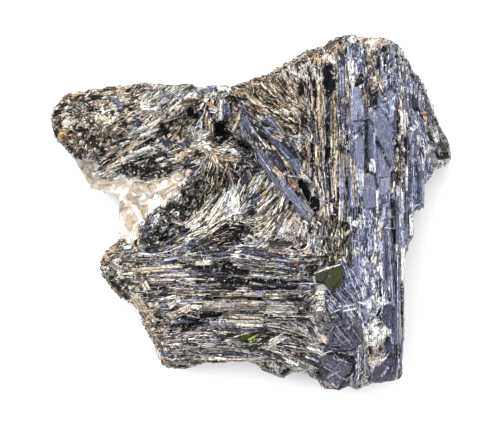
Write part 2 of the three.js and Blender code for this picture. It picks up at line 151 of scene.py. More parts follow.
# ---- Zones of the face: texture, outline, and tones with their shares ----
ZONES = {
    "lobe": (
        "granular", "40 70  150 70  160 112  130 140  108 158  98 190  40 190",
        "black 3.6, brown_black 3.2, brown 2.6, tan 1.6, cream 2.4, beige 1.2, grey_pale 1, white 0.8, "
        "grey 1, rust 0.6",
    ),
    "lobe_fibres": (
        "fibrous", "97 174  99 162  140 122  150 80  230 80  234 100  182 136  152 158  118 182",
        "black 4.2, cream 2.6, grey_pale 2, green_white 3, white 1.6, grey 1.2, brown 0.8",
    ),
    "chip": (
        "glassy", "70 156  98 160  101 184  84 190  70 176",
        "grey_pale 3, grey 1.6, beige 1",
    ),
    "upper_pod": (
        "granular", "114 160  150 153  178 150  184 170  165 177  130 180",
        "black 4, blue_black 2.6, grey 1.6, brown_black 1.5, grey_pale 0.6",
    ),
    "hollows": (
        "needled", "150 110  186 98  236 98  240 118  244 150  215 160  182 158  150 156  146 140",
        "blue_black 3.5, black 4, cream 2, grey_pale 2, tan 1, slate 1.4, amber 0.3",
    ),
    "centre": (
        "fibrous", "180 158  215 160  244 148  262 158  284 205  262 218  232 215  214 192  204 172",
        "blue_black 3.2, black 3, white 1.3, green_white 1.5, grey_pale 1.4, slate 1.8",
    ),
    # The lower pod is glassy black; its cool_white is painted glints.
    "lower_pod": (
        "granular", "140 205  165 204  178 195  188 180  206 172  214 190  196 216  176 234  158 252  "
        "118 254  126 240  138 234  143 222",
        "black 4, olive_black 1.8, blue_black 1.8, grey 2, grey_pale 1.2, brown 0.9, cool_white 0.4",
    ),
    "quartz": (
        "glassy", "84 180  100 180  120 176  130 177  142 181  156 179  170 174  186 168  191 174  "
        "183 186  178 196  165 205  150 212  143 222  139 236  126 246  112 246  118 220  116 200  "
        "84 190",
        "milk 6, white 3, cream 2.4, pink_beige 1.2, beige 1, grey_pale 0.8",
    ),
    "light_flow": (
        "fibrous", "176 246  184 226  200 208  214 197  226 194  228 220  212 228  205 238",
        "cream 2.6, white 2.6, green_white 1.6, black 1.8, tan 1.2, brown_black 0.8",
    ),
    "olive_column": (
        "fibrous", "205 165  222 163  232 168  231 185  222 202  207 200  204 180",
        "brown_black 2.4, black 2, tan 1.4, cream 1.2, olive_black 1.4, grey 1",
    ),
    "white_fall": (
        "fibrous", "222 195  232 188  243 192  244 222  226 220",
        "white 2.6, green_white 2.4, slate_pale 1, black 1.4, purple_grey 1",
    ),
    "blue_flow": (
        "fibrous", "242 196  256 188  268 196  264 212  244 220  240 208",
        "blue_black 3, black 2.6, blue 1, slate 1, white 1, grey_pale 1",
    ),
    "fine_flow": (
        "fibrous", "256 174  268 178  284 200  274 218  260 214  266 196  252 188",
        "white 2, grey_pale 2, black 2.6, slate 1.4, blue_black 1",
    ),
    "middle_pod": (
        "granular", "234 163  256 158  264 170  252 187  240 190  236 178",
        "blue_black 3.4, black 2.6, deep 1.4, grey 0.6, beige 0.4, lilac 0.4",
    ),
    "light_band": (
        "fibrous", "96 174  100 165  128 145  140 128  165 118  180 100  199 87  202 96  186 104  "
        "172 118  158 134  165 146  150 157  130 160  108 178",
        "cream 2.8, white 2.6, green_white 1.6, grey_pale 1.4, black 2.2, brown 1",
    ),
    "dark_slash": (
        "fibrous", "134 152  136 147  150 136  176 116  190 107  206 112  204 122  180 124  172 134  158 143",
        "black 5, brown_black 2.4, cream 1, green_white 0.8, blue_black 1",
    ),
    "crest": (
        "fibrous", "152 88  166 84  180 84  186 94  172 106  158 112  151 104",
        "green_white 3, grey 2, grey_pale 1.6, black 2, slate 0.8",
    ),
    "lobe_light": (
        "granular", "98 104  118 102  118 122  100 126",
        "cream 3, white 2, brown 1, black 1, grey 1",
    ),
    "cream_patch": (
        "granular", "139 100  156 101  157 113  140 115",
        "white 2.4, cream 3, beige 1, brown 0.4",
    ),
    "rust_ring": (
        "needled", "168 122  184 122  186 139  170 142",
        "rust 1.4, tan 2, cream 1.6, black 1.6, grey 1",
    ),
    "white_middle": (
        "needled", "190 126  206 130  216 146  200 153  191 146",
        "white 3, green_white 2.6, grey_pale 1, black 1.4, slate 0.5",
    ),
    "cream_middle": (
        "needled", "172 148  216 146  230 166  208 167  190 158  176 170",
        "cream 3, white 1.4, tan 1.2, brown 1, black 1.6, rust 0.4",
    ),
    "hollow_pod": (
        "needled", "207 118  228 122  231 140  216 146  205 140",
        "black 4, blue_black 3, brown 1, tan 0.5",
    ),
    "cream_fan": (
        "fibrous", "262 184  296 194  316 218  302 242  262 244  238 226",
        "cream 3, tan 1.6, black 2.6, slate 1, grey 1, white 1, blue_black 1",
    ),
    "dark_arc": (
        "fibrous", "205 238  214 227  228 219  246 223  264 234  246 238  236 246  206 248",
        "black 4, brown_black 3, brown 1.2, tan 1.2, cream 0.9, blue_black 2",
    ),
    "mottle": (
        "needled", "226 242  300 222  330 220  332 262  314 272  226 262",
        "lilac 1.6, cream 2.6, white 1.4, black 2.4, slate 1.2, grey_pale 1.4, brown 0.8",
    ),
    "needle_fan": (
        "fibrous", "230 100  230 84  262 72  296 50  306 70  306 152  262 118",
        "tan 2.4, amber 0.9, black 4.2, cream 3.2, brown 1.9, blue_black 1.2",
    ),
    "diagonals": (
        "striped", "238 112  264 114  306 150  326 205  312 224  285 202",
        "slate 1, deep 3, black 3.2, slate_pale 1.4, cream 2.4, tan 1.2, slate_dark 1.6, white 0.4",
    ),
    "stripes": (
        "striped", "301 60  326 40  348 40  349 224  322 228  302 212  304 150",
        "black 3.4, blue_black 2.8, cream 2, tan 1.2, beige 0.8, lilac 1.3, slate 1.2, grey_pale 1.1, "
        "brown 1",
    ),
    "rim_crust": (
        "granular", "284 68  292 46  330 34  346 34  346 58  312 66  290 84",
        "brown 3, tan 2, cream 2.2, black 2, white 1, amber 0.5, brown_black 1",
    ),
    # The cap, panels, right flank and lower panels are the blades of the right mass; their slate_pale, slate
    # and cool_white are partly the blades' own colour and partly painted sheen.
    "cap": (
        "needled", "345 28  410 36  408 62  404 94  345 94",
        "blue_black 2.1, slate_dark 2.1, slate 2.8, slate_pale 2.8, cool_white 2, black 1.1, tan 0.5",
    ),
    "panels": (
        "cleaved", "345 94  404 94  414 130  428 172  430 210  410 242  404 262  347 262",
        "slate 5, slate_dark 2, slate_pale 2.4, deep 0.7, cream 0.3, cool_white 0.6, black 0.5",
    ),
    "right_flank": (
        "needled", "400 58  412 58  460 150  456 172  428 174  414 130  402 94",
        "grey 1, grey_pale 1.8, black 1, slate 2.8, slate_dark 1, slate_pale 3, lilac 2, cool_white 2.6",
    ),
    "lower_panels": (
        "cleaved", "347 262  408 260  410 345  364 345  356 318",
        "slate 4, slate_dark 2.2, slate_pale 2.8, cool_white 1, deep 0.8, black 0.5",
    ),
    "olive_band": (
        "needled", "326 206  348 206  352 264  326 264",
        "olive_black 2, black 2.4, tan 1.4, brown 1.4, slate 1.4, cream 1.4, yellow_green 0.3, moss 0.8",
    ),
    "crust": (
        "needled", "284 76  290 70  300 66  322 64  322 80  300 82  290 85",
        "white 2.4, cream 2.4, black 2, slate 0.8",
    ),
    "dark_block": (
        "needled", "363 87  376 89  378 104  372 110  363 106",
        "deep 2.6, brown_black 1, black 1.2, purple_grey 2",
    ),
    "cap_tan": (
        "granular", "366 50  379 50  379 66  372 70  366 68",
        "tan 2, brown 1.5, cream 1.5, slate 1",
    ),
    "cap_pink": (
        "granular", "369 76  376 72  384 78  384 92  371 91",
        "pink_beige 3, tan 1, rust 0.4, grey 1.5, slate 0.8",
    ),
    "cap_beige": (
        "granular", "350 36  388 38  386 48  366 50  356 44",
        "pink_beige 3, cream 2, brown 1, white 1, black 0.8",
    ),
    "speckle": (
        "needled", "338 126  351 128  352 156  341 156",
        "black 2, cool_white 1.6, slate 1.5, grey_pale 1",
    ),
    "speck_seam": (
        "granular", "393 118  403 118  405 150  403 182  393 182  393 150",
        "black 3, cream 1.8, white 1.4, brown 1, grey 1, slate_dark 1",
    ),
    "flank_streaks": (
        "fibrous", "404 75  418 78  430 130  430 180  418 182  412 130  402 110",
        "slate_dark 1.4, slate 3, cool_white 2.8, slate_pale 2.8, black 0.7",
    ),
    "white_seam": (
        "needled", "396 96  407 96  409 132  400 134  394 118",
        "cool_white 2.6, cream 1, slate_pale 1.8, slate 1.4, black 0.8",
    ),
    "pale_flecks": (
        "needled", "354 212  384 214  383 322  366 322  361 262  352 240",
        "black 0.5, slate_dark 1.2, slate 2.4, slate_pale 2.4, lilac 1.4, cool_white 2.6",
    ),
    "white_flecks": (
        "granular", "364 284  384 288  384 324  366 324",
        "cool_white 3, lilac 1.5, slate_pale 1.5, black 0.8, slate 1",
    ),
    "white_dust": (
        "granular", "320 292  332 302  346 306  360 300  368 286  386 290  382 320  364 323  352 312  "
        "336 317  322 312",
        "cool_white 3, slate_pale 1.8, grey_pale 1, slate 1.2, black 1",
    ),
    "knob": (
        "granular", "324 296  332 291  341 300  338 309  328 313  323 306",
        "black 3, grey_pale 1, cool_white 0.8, deep 1.4",
    ),
    "plates": (
        "cleaved", "316 318  356 314  368 345  366 396  312 396  318 360",
        "purple_grey 5, deep 2, slate_dark 1.4, black 0.8, lilac 0.5",
    ),
    "fan": (
        "fibrous", "326 262  347 262  364 290  358 318  326 316",
        "slate 3, slate_pale 2.4, deep 1.2, black 0.8, grey_pale 1.2, slate_dark 1.6",
    ),
    "foot": (
        "cleaved", "382 344  408 344  408 390  366 390  366 345",
        "deep 3, slate_dark 3, black 0.8, slate 1.8, lilac 0.8, slate_pale 0.5",
    ),
    "foot_strip": (
        "needled", "356 345  369 345  369 388  348 388  348 366  356 364",
        "grey 2, slate_pale 2, grey_pale 1.6, slate_dark 1.8, black 0.9, cool_white 0.6",
    ),
    "white_patch": (
        "granular", "367 324  384 321  391 328  388 342  380 348  368 348",
        "white 4.4, cool_white 2.2, grey_pale 2, grey 0.7, lilac 0.8, black 0.2",
    ),
    "brown_patch": (
        "granular", "367 347  384 345  386 354  378 368  367 370",
        "cream 2.2, beige 1.4, brown 1, grey_pale 1.8, lilac 1.2, white 2, black 0.4",
    ),
    # Glints on the lower pod's glassy black: the cool_white and grey_pale here are painted glints.
    "pod_glints": (
        "granular", "150 217  158 216  166 224  164 234  158 236  150 226",
        "cool_white 1.6, grey_pale 1.6, black 3, slate 1",
    ),
    "arm_crust": (
        "granular", "90 246  122 240  142 250  152 290  172 330  184 372  150 372  120 310  90 290",
        "beige 2, brown 2.2, grey 1.6, black 3.6, cream 2.4, white 0.8, rust 0.6, brown_black 1.6",
    ),
    "arm": (
        "striped", "140 250  200 244  232 256  312 264  318 300  310 336  172 336  152 290",
        "blue_black 2.5, black 3.7, deep 2, grey 1.5, lilac 1.8, slate 0.8, slate_pale 0.8, cream 2.1, "
        "beige 1.3, brown 0.8, white 0.3",
    ),
    "arm_foot": (
        "fibrous", "172 336  310 336  320 374  300 376  262 384  180 374",
        "lilac 2.4, grey_pale 2, cream 1, black 2.4, grey 2, deep 1.4, olive 0.4",
    ),
    "swirl": (
        "needled", "298 302  326 300  330 318  318 360  316 384  304 374  306 336",
        "grey 3, grey_pale 2, lilac 1.6, black 2, slate 1",
    ),
}

# Areas that are strewn as a piece each: lowest and highest column and row.
AREAS = {
    "lobe": (0, 160, 0, 250),
    "upper": (160, 300, 0, 160),
    "centre": (160, 300, 160, 250),
    "stripes": (300, 350, 0, 250),
    "bundle": (350, 500, 0, 160),
    "flank": (350, 500, 160, 250),
    "arm": (0, 210, 250, 430),
    "arm_end": (210, 316, 250, 430),
    "foot": (316, 500, 250, 430),
}
BACK_TONES = "black 2, brown_black 2, deep 3, brown 1.6, slate_dark 3, grey 1.6, slate 2, tan 0.8, cream 0.7"

# ---- The rock's grain: (column, row, degrees up from the +X direction) ----
GRAIN_GUIDES = (
    "60 120 20; 90 110 15; 110 140 28; 90 160 40; 130 100 30; 125 150 32; 150 140 32; 170 120 36; "
    "170 98 42; 200 95 38; 225 92 35; 185 120 62; 215 110 84; 200 140 12; 215 132 48; 240 95 -50; "
    "262 90 -50; 285 75 -58; 300 66 -72; 265 108 -36; 286 115 -30; 290 132 -18; 276 128 -22; "
    "255 140 -54; 280 168 -54; 300 196 -54; 300 160 -55; 313 80 90; 313 150 90; 315 205 88; 330 60 90; "
    "330 150 90; 331 210 92; 350 80 90; 350 200 91; 380 80 90; 380 200 90; 395 150 90; 408 100 96; "
    "425 120 108; 440 150 112; 410 190 90; 400 250 90; 380 260 90; 360 260 90; 395 340 90; 375 300 90; "
    "362 350 90; 375 370 90; 190 228 30; 200 230 27; 195 216 42; 205 207 44; 213 197 52; 205 220 48; "
    "215 212 55; 222 203 66; 226 190 76; 215 180 78; 212 168 65; 228 175 80; 234 182 80; 238 200 75; "
    "236 214 72; 241 178 80; 215 228 40; 225 221 20; 236 222 -6; 246 227 -26; 254 232 -35; 225 232 12; "
    "238 236 0; 248 215 25; 255 220 16; 252 204 36; 260 208 40; 262 190 48; 270 200 52; 256 178 62; "
    "250 188 64; 284 205 66; 270 228 55; 262 236 35; 290 232 60; 220 242 6; 245 244 0; 230 153 0; "
    "210 150 -40; 220 163 -48; 190 160 22; 168 165 5; 135 168 5; 150 200 30; 130 220 70; 160 225 30; "
    "180 205 45; 300 235 80; 320 245 88; 337 235 88; 300 256 10; 110 265 -3; 130 290 -5; 160 265 2; "
    "160 300 2; 170 340 3; 200 268 -4; 250 260 -12; 290 266 -10; 250 285 -1; 250 310 0; 290 310 0; "
    "240 325 0; 200 350 2; 250 350 -4; 280 362 -30; 305 370 -38; 290 342 -12; 310 330 -40; 318 300 40; "
    "352 278 -60; 338 296 -48; 340 300 -58; 335 330 -60; 330 358 -15; 334 376 32"
)

# Tones that streak through each tone of a laid blade.
PARTNERS = {
    "black": "brown_black blue_black", "blue_black": "black slate_dark", "deep": "black slate_dark",
    "slate_dark": "slate deep", "slate": "slate_pale slate_dark", "slate_pale": "cool_white slate",
    "blue": "slate blue_black", "purple_grey": "deep slate_dark", "lilac": "grey cool_white",
    "grey": "black brown grey_pale", "grey_pale": "grey white black", "white": "slate_pale cream white",
    "milk": "white grey_pale", "cool_white": "slate_pale cool_white grey", "green_white": "grey white",
    "cream": "tan white brown", "beige": "tan cream", "pink_beige": "tan white", "tan": "brown cream",
    "amber": "tan brown", "rust": "brown_black brown", "brown": "grey cream black",
    "brown_black": "rust black", "olive": "olive_black", "olive_black": "olive black", "moss": "olive",
    "yellow_green": "olive yellow_green",
}

# ---- Blades and slits that are laid one by one, by place and tone ----
# Column and row of both ends, width in squares, and lift in mm where it isn't LAID_LIFT: below 0 for a slit.
# A slit is sunk into the surface and takes its near-black tone as painted shade in the groove.
LAID = {
    "rim": {
        "grey": "299 60 309 53 4 0.4",
        "brown": "306 55 318 52 5; 327 47 342 39 4",
        "tan": "332 51 342 46 4",
        "amber": "309 60 325 58 3",
        "black": "299 62.5 323 62 2.4 1.2",
        "white": "328 58 337 66 4; 349 38 354 44 6",
        "cream": "368 43 375 45 5",
        "grey_pale": "398 48 401 58 5 0.6; 262 80 283 71 4; 283 70 300 60 4; 385 44 398 50 5",
        "beige": "374 46 388 42 6",
    },
    "stripes": {
        "black":
            "301 78 300 97 4 -0.2; 305 80 304 96 3 0.1; 311.5 142 312.5 182 3.5 -0.4; "
            "329 145 328 159 3.5 -0.4; 297 123 297 138 4 0.1; 328 121 328.5 146 4.5 -0.9",
        "cream":
            "305 126 307 140 3; 311.5 96 312 112 2.5; 324 100 323.5 128 2; 317 146 317 166 4; "
            "324 190 323 206 3; 327 204 328 216 1.8; 331 136 332 152 2.5 0.6; 334 167 331.5 200 3.5 0.4; "
            "305 160 305 170 4 1",
        "brown_black":
            "303 150 303 160 5; 337 170 337 184 2.5; 338 190 337 208 3; 346 176 346 192 5; "
            "335 212 333 221 4 -0.2; 303 138 304 150 3; 303 108 304 124 6 0.8",
        "tan": "333.5 94 335 122 3; 318 146 319 160 2.5; 336 122 337 144 3; 308 106 309 118 3 0.9",
        "blue_black": "314 80 315 108 4.5 -0.4; 328 64 329 98 12 -0.3",
        "grey": "331 100 331 136 2.5; 349.8 92 350 132 1.8; 349 156 350 177 4; 306 98 305 112 4 0.8",
        "deep": "326 158 327 172 3 0.1; 327 172 327 190 3 0.9",
        "grey_pale": "315 112 315.5 146 4 0.4; 319 168 320 186 2.5; 341 142 342 152 3.5 1.3",
        "slate": "341 102 342 126 7 0.1; 340.5 156 341 182 3 0.5; 341 66 342 100 5 0.5",
        "blue": "341 54 342 66 4",
        "white": "350.5 60 350.5 75 6 0.4; 351.5 76 351.5 87 5 0.4",
        "purple_grey": "311 112 311.5 128 2.2",
        "beige":
            "318.5 84 319.5 130 3 0.5; 319.5 130 320 146 3; 323.5 206 324.5 219 2; 352 176 353 202 2.4; "
            "337.5 150 334 170 3 0.4",
        "slate_pale": "341 178 341.5 200 4 1",
        "lilac": "299 133 299 147 2; 341 201 340 221 4.5 0.5",
        "pink_beige": "318 220 322 211 2.4 1; 331 203 331.5 213 2.4 1",
        "slate_dark": "327.5 98 328 124 4 0.1",
        "brown": "322.5 90 322 128 2.5 1.2",
    },
    "cap": {
        "blue": "352 46 358 53 6; 361 57 362 66 4",
        "brown_black": "359 75 360 85 8",
        "blue_black": "377 56 378 71 4",
        "black": "384 46 386 59 4",
        "brown": "366 88 366 107 7 0.1",
        "deep": "374 92 374 106 5 0.1",
        "cool_white": "370 108 371 117 4 1",
        "slate_pale": "398 66 400 80 2.5",
        "slate": "402 68 405 84 3",
    },
    "panels": {
        "slate_pale": "358 167 359 196 10 0.1; 419 158 419 180 3",
        "black":
            "394 121 394 160 2.5 -0.3; 397 113 397 135 3 -0.3; 366 171 375.5 174 1.6; "
            "391 171 391.5 188 1.5; 421 148 422 157 3; 405.5 137 405.5 163 2 0.8; 365 122 365 171 2.6 -1; "
            "376 141 376.5 147 2 1",
        "slate":
            "409 182 409 197 3; 411 132 411.5 145 7 1.1; 351 124 351.5 170 1.8; 408.5 95 408.5 112 5 0.6",
        "cool_white":
            "384.5 98 385 101 2.4 0.5; 393.5 97 393.5 100 1.8 0.5; 396 148.5 397.5 152 3 0.4; "
            "396 185 396.5 197 3; 370.5 152 371.5 163 3 1; 372 160 373.5 171.5 4.4 1; "
            "411 126 414.5 130 6 1.2; 417 135 417 147 3 1; 405.5 167 406 191 3 0.9; "
            "369.5 163 370 172 2.4 2.1",
        "blue_black": "383 112 388 123 1.6 -0.3; 375 136 391 171 2.8 -0.4",
        "slate_dark": "410 162 410 181 5 0.1; 414 98 416 112 5 1",
        "brown_black": "397 98 397.5 113 4 0; 399 144 400 161 3",
        "cream": "402 88 403 110 3; 393 181 392 193 3; 395 155 395.5 163 3.5; 402 110 403 136 5 0.9",
        "beige": "354 160 354 182 2",
        "deep": "375 174 377 188 3 0.1; 402.5 182 402.5 192 3 0.7",
        "brown": "398 162 399.5 177 7 0.1",
        "grey": "400 166 400.5 179 4 0.1",
    },
    "flank": {
        "brown": "413 78 420 92 3; 440 143 445 151 5 1.3",
        "slate_dark": "420 96 423 110 3; 426 165 430 173 5",
        "cream": "424 113 425.5 125 4",
        "black": "433 119 436 126 6; 436 157 450 154.5 6 0.2",
        "grey_pale": "431 124 437 137 8; 431 162 450 160 2.4; 420 128 421 142 3",
        "cool_white": "434 131 438 143 6; 427 146 428 159 8 0.5",
        "brown_black": "429 134 437 155 3; 410 73 423 90 3 0.4; 427 112 430 135 2",
        "grey":
            "441 135 447 147 7; 431 166 446 163 3 0.2; 433 118 441 133 2.4 0.4; 423 92 433 116 2.4 0.4",
    },
    "fan": {
        "black": "252 92 257 99 5 0.1",
        "blue_black": "237 99 250 101 5",
        "olive_black": "226 98 236 99 6",
        "brown": "262 110 270 116 4; 262 105 273 108 4 0.9",
        "tan": "272 84 278 94 4; 290 125 296 133 3; 243 108 236 121 3 0.5; 276 91 290 112 3 1",
        "cream": "288 106 298 113 4",
        "grey": "266 116 275 121 4; 264 83 266 90 5; 263 96 276 101 6 0.8",
        "beige": "241 117 232 133 3 1",
        "grey_pale": "282 110 295 117 4; 291 112 303 128 2 0.5",
    },
    "diagonals": {
        "black":
            "233 138 252 154 4.5 -0.4; 264 136 272 147 3 -0.3; 282 142 297 158 2 0.7; "
            "283 122.5 292 122 2.4 0.5; 285 128 292 131 2 0.5; 264 101 272 104.5 3 0.2; "
            "244 143 252 154 2 -0.3; 262 123 268 127 3.4 0.8; 258 132 263 138 3 1; "
            "289 115 296 118.5 2 0.5; 302 184 317 207 12 -0.6; 311 195 317 212 8 -0.6; "
            "299 185.5 307 189 6 -0.6",
        "slate":
            "289 140 297 151 2.4 1; 263 128 270 136 5 0.8; 266 117 280 131 2.4 0.8; "
            "241 129 256 150 0.8 0.9; 274 118 284 132 1.6 0.5; 246 118 259 138 0.8 0.9",
        "slate_pale":
            "258 153 271 172 0.8 1; 279 176 286 186 1.4 0.8; 272 140 291 161 1.2 0.9; "
            "319 195 324 206 1.6 0.6; 305 176 314 185.5 1.6 0.9",
        "slate_dark":
            "262 154 276 178 0.8 1; 297 207 304 221 3 0.6; 244 124 254 142 1 0.9; 284 153 296 172 0.8 0.9",
        "cream":
            "256 127 259 137 3; 286 161 291 169 3.4 0.5; 301 171 305 183 3 0.5; 279 177 291 170.5 1.4 0.9; "
            "281 157 289 167 3.4 1.2",
        "tan": "290 177 297 191 6 0.4; 276 122 284 134 1.2 0.8",
        "beige": "270 168 284 179 2.4 0.5; 271 145 287 166 2.2 0.9",
        "green_white": "299 189 303 196 3.4 0.7; 302 195 307 202 2.6 0.7",
        # A painted glint on the dark hole.
        "cool_white": "313.6 188.5 311.6 196.5 1.4 1.4",
        "brown": "272 163 284 177 2 0.5",
    },
    "centre": {
        "cream":
            "249 188 256 176 3 0.6; 245 221 265 216 3 0.4; 304 252 312 252 4; 279 211 284 196 3 1; "
            "262 248 272 242 3",
        "blue_black": "243 176 249 184 6 0.1",
        "grey_pale": "229 200 232 213 5",
        "green_white": "235 194 238 221 8",
        "slate_dark": "250 204 262 197 5; 311 246 319 248 5",
        "black": "247 210 258 204 3; 226 234 246 240 5 0; 250 215 257 211 4 0.4",
        "brown_black": "236 165 236 190 4 0; 226 226 245 228 4 0.1; 298 237 305 242 4; 286 248 297 249 3",
        "tan": "229 171 233 185 2.5; 268 250 291 253 4 0.8",
        "beige": "288 214 300 227 8",
        "grey":
            "247 170 252 180 4; 247 219 262 211 3; 259 214 277 202 2.5; 308 238 330 236 2.5; "
            "283 233 300 236 3",
        "brown": "300 248 307 245 4; 240 205 250 194 2 0.9; 269 244 292 243 4 0.9",
        "purple_grey": "240 249 290 257 8",
        "olive_black": "303 257 329 256 2.5",
        "deep": "226 245 244 243 3",
        "white": "317 221 322 226 2 1; 264 206 278 194 2 1; 302 219 308 224 2 0.5; 311 222 318 228 2 1.4",
    },
    "quartz": {
        "tan":
            "178 171 186 177 1 0.6; 98 180 118 176.5 1.2 0.7; 134 182 153 184.5 0.9 1.1; "
            "129 198 141 196.5 0.9 1.1; 141 190 150 198 0.7 1.1",
        "amber": "131 203 148 207 0.8 1.1; 138 206 145 218 0.8 1.1",
        "beige": "139 225 138 247 1.6 0.5",
        "cream":
            "121 177.5 151 178 0.8 1; 156 180 172 177 1.2 0.7; 161 196 178 186 1 1.1; "
            "150 181 164 180 0.8 1.1",
    },
    "pods": {
        # Of the white strokes, the first two are painted glints on the glassy black pods, and so is the
        # cool_white stroke.
        "white": "124 248 132 247 4 0.4; 150 222 158 220 2; 156 161 164 158 2.4 0.9",
        "black":
            "131 168 151 171 8 0.1; 117 165 117 175 4 0.1; 188 197 197 196 5 0; 183 184 184 197 3 0.1; "
            "156 231 162 240 6 0.1; 166 206 182 208 6 0.1; 176 234 191 228 2.4 0.7",
        "brown_black": "184 168 196 164 3; 180 206 191 203 3; 178 229 185 226 4 0.9",
        "brown": "171 220 183 224 4 0.6; 160 166 168 164 4 0.9",
        "deep": "146 225 147.5 241 7",
        "grey": "135 164 147 160 2; 146 232 149 242 3",
        "cool_white": "161 224 164 231 1.4 0.4",
    },
    "hollows": {
        "brown":
            "182 90 194 86 4; 144 90 156 89 4 0.8; 210 117 211 139 5; 182 103 196 101 6 0.7; "
            "173 124 183 124 3 0.9",
        "cream":
            "163 113 171 108 4; 211 152 218 165 4 0.4; 209 112 219 113 1.6 0.6; "
            "199 99.5 210 103.5 1.4 0.7; 143 129 167 116 3 0.9; 204 146 215 152 4 0.9; "
            "221 158 240 161 4 1.3",
        "green_white": "141 136 159 129 3; 195 138 205 142 5",
        "slate_pale": "174 98 183 93 3; 201 121 201 133 3 0.9",
        "white":
            "184 99 203 87 3.5 0.5; 228 88 231 95 5 0.4; 150 116 159 114 4; 190 144 203 147 4; "
            "208 108 219 111.5 3 1",
        "black":
            "188 109 199 118 10 -0.8; 155 131 181 110 3.4 -0.4; 160 128 173 120 2.5 0.1; "
            "218 122 222 143 9 -0.7",
        "slate_dark": "177 145.5 191 143 5 0.4",
        "amber": "205 102 218 111 2 0.5; 209 104 219 110 1.6 0.7",
        "tan": "206 117 206 133 3; 232 106 234 117 1.6 0.7",
        "blue_black": "203.5 111 203 131 3 0.1",
        "olive_black": "196 150 201 156 4",
        "beige": "186 152 178 160 5; 175 111 181 104 5 0.8",
        "cool_white": "221.5 100 220.5 121 3.2 0.6",
        "slate": "226 105 228.5 119 7 0.7; 203 91 217 88 5 0.4",
        "grey": "162 113 177 100 2.5; 142 132 160 126 1.6; 158 124 181 116 2 0.4; 158 109 172 96 2.5",
        "grey_pale":
            "167 113 183 100 3 0.4; 192 127 196 139 5 0.9; 232 150 239 156 5 0.8; 219 151 233 150 3 0.5",
    },
    "lobe": {
        "brown_black":
            "91 97 104 97 4.5; 103 89.5 119 88.5 2.4; 131 97 139 99 5; 74 154 82 158 4 0.4; "
            "96 146 104 150 4 0.4; 97 171.5 121 156 2 0.6; 83 101 90 104 4 0.4; 62 139.5 71 137 4 0.8",
        "tan":
            "71 94 85 93 3; 96 101 105 103 4; 107 151 119 146 4; 99 161 113 152 3; 98 169 119 154 2.4 0.4; "
            "104 94 113 92 4 0.8",
        "cream":
            "117 92 129 97 6; 81 121 89 127 6; 91 113 101 118 6; 103 118 113 124 5; 135 114 145 110 4; "
            "104 171 123 158 3 0.4; 103 106 113 108 5",
        "slate_dark": "112 98 124 112 4 0.6",
        "black":
            "55 129.5 58 136 4.5; 74 130 85 129 6; 118 123 128 126 5; 79 150 87 152 5; "
            "139 146 157 139 2.4 -0.2; 133 158.5 161 156 3.4 0; 98 170 128 146 2 0.2; "
            "100 174 140 145 1.6 0.2; 111 111 115 116 3 0.6; 88 108 97 108 4 0.4; 78 130 86 131 4 0.4; "
            "66 145 72 150 4 0.4; 127 105 132 111 4 0.4; 62 103 66 108 4 0.4; 91 136 96 141 4 0.4; "
            "99 165 119 151 2 0.6; 87 110.5 97 109 3 0.9; 117 152 131 143 2 1.1",
        "grey":
            "71 103 85 105 3; 110 132 117 138 6; 91 152 101 158 6; 123 101 131 105 4; "
            "125 161 153 150 2.4 0.8; 127 141 143 133 3",
        "blue_black": "54 113 63 111 5",
        "white": "63 121 71 126 7 0.4; 101 108 106 113 3.6 0.5; 140 107 155 107 7 1",
        "amber": "59.5 131 67 137 5; 58 137 66 134 6 0.5",
        "deep": "101 134 108 138 4; 133 121 142 126 7 0.6",
        "olive_black": "87 141 98 147 6",
        "beige": "139 97 145 101 3.6 0.5; 117 155 141 140 4 1.1",
        "green_white": "121 159 151 146 3 0.4",
        "grey_pale": "95 123 100 128 5; 129 130 147 120 6",
        "brown": "129 89 141 90 3; 103 137 110 129 7",
    },
    "lower_bundle": {
        "cream": "379 221 380 240 3; 344 235 352 229 3 0.4; 313 273.5 341 264 2.4 0.6",
        "slate":
            "360 229 361 241 4; 370.5 262 372 277 4; 368 285 369 297 5; 418.5 174 419 205 4.5 0.5; "
            "405 224 404 245 6 0.2",
        "slate_pale":
            "371 236 373 251 5; 350 240 359 243.5 4; 398.5 284 399 331 1 0.7; 414 176 414.5 206 4 0.6; "
            "408 197 408 215 6; 364 307 366 319 4; 422 180 422 204 2.5 0.5",
        "white":
            "400 205 403 213 5 0.4; 379.5 261 382 279 3 0.4; 372 256 375 265 5; 366 271 367 285 4; "
            "362 287 363 299 3; 372 280 373.5 291 4; 376 300 381 306 4; 410.3 214 410.8 236 3.4 1.6; "
            "352 222 358 225 6 1.1; 402 248 402 281 3.4 1.5; 376.5 189 376.5 215 2.4 1.4",
        "black":
            "339 222 346 225 5 0.1; 389 290 389.5 301 3 0.1; 380 278 380 297 2.4 0.1; "
            "391.5 195 393 244 3.4 -1.2",
        "slate_dark": "366 228 366 241 4; 364.5 243 365 257 5; 393 245 393 281 1.6",
        "grey_pale": "396 244 397 257 3 1.6",
        "green_white": "345 220 353 218 4; 353 249 360 254 8 0.5; 341 258 346 264 5",
        "lilac": "378 240 379.5 262 4",
        "olive_black": "342 216 350 215.5 4 0.1",
        "brown_black": "321 265.5 339 263 2.4; 309 264 316 270 8 1.1",
        "grey": "402 281 402 331 3 0.1",
    },
    "foot": {
        "black":
            "326 300 327 309 2.4 0.2; 326.5 295.5 333 292.5 2 0.2; 331 298 338 304 1.4 0.2; "
            "328 311 337 309.5 1.6 0.2; 331 291.5 343 304 2 -0.3; 336 290 349 303 1.4 -0.2; "
            "388 290 388.5 300 1.6 0.5; 369 345.5 369 354 2.4 0.8; 401 281 401.5 335 1.8 1.3; "
            "391.8 206 392.6 246 2 0.9; 333 351 357 357.5 1.2 1; 352 273 362 289 1.6 0.2; "
            "321 358 334 352 0.9 0.5; 328 345 346 349.5 1 0.5; 376 316 381 307 2",
        "cool_white":
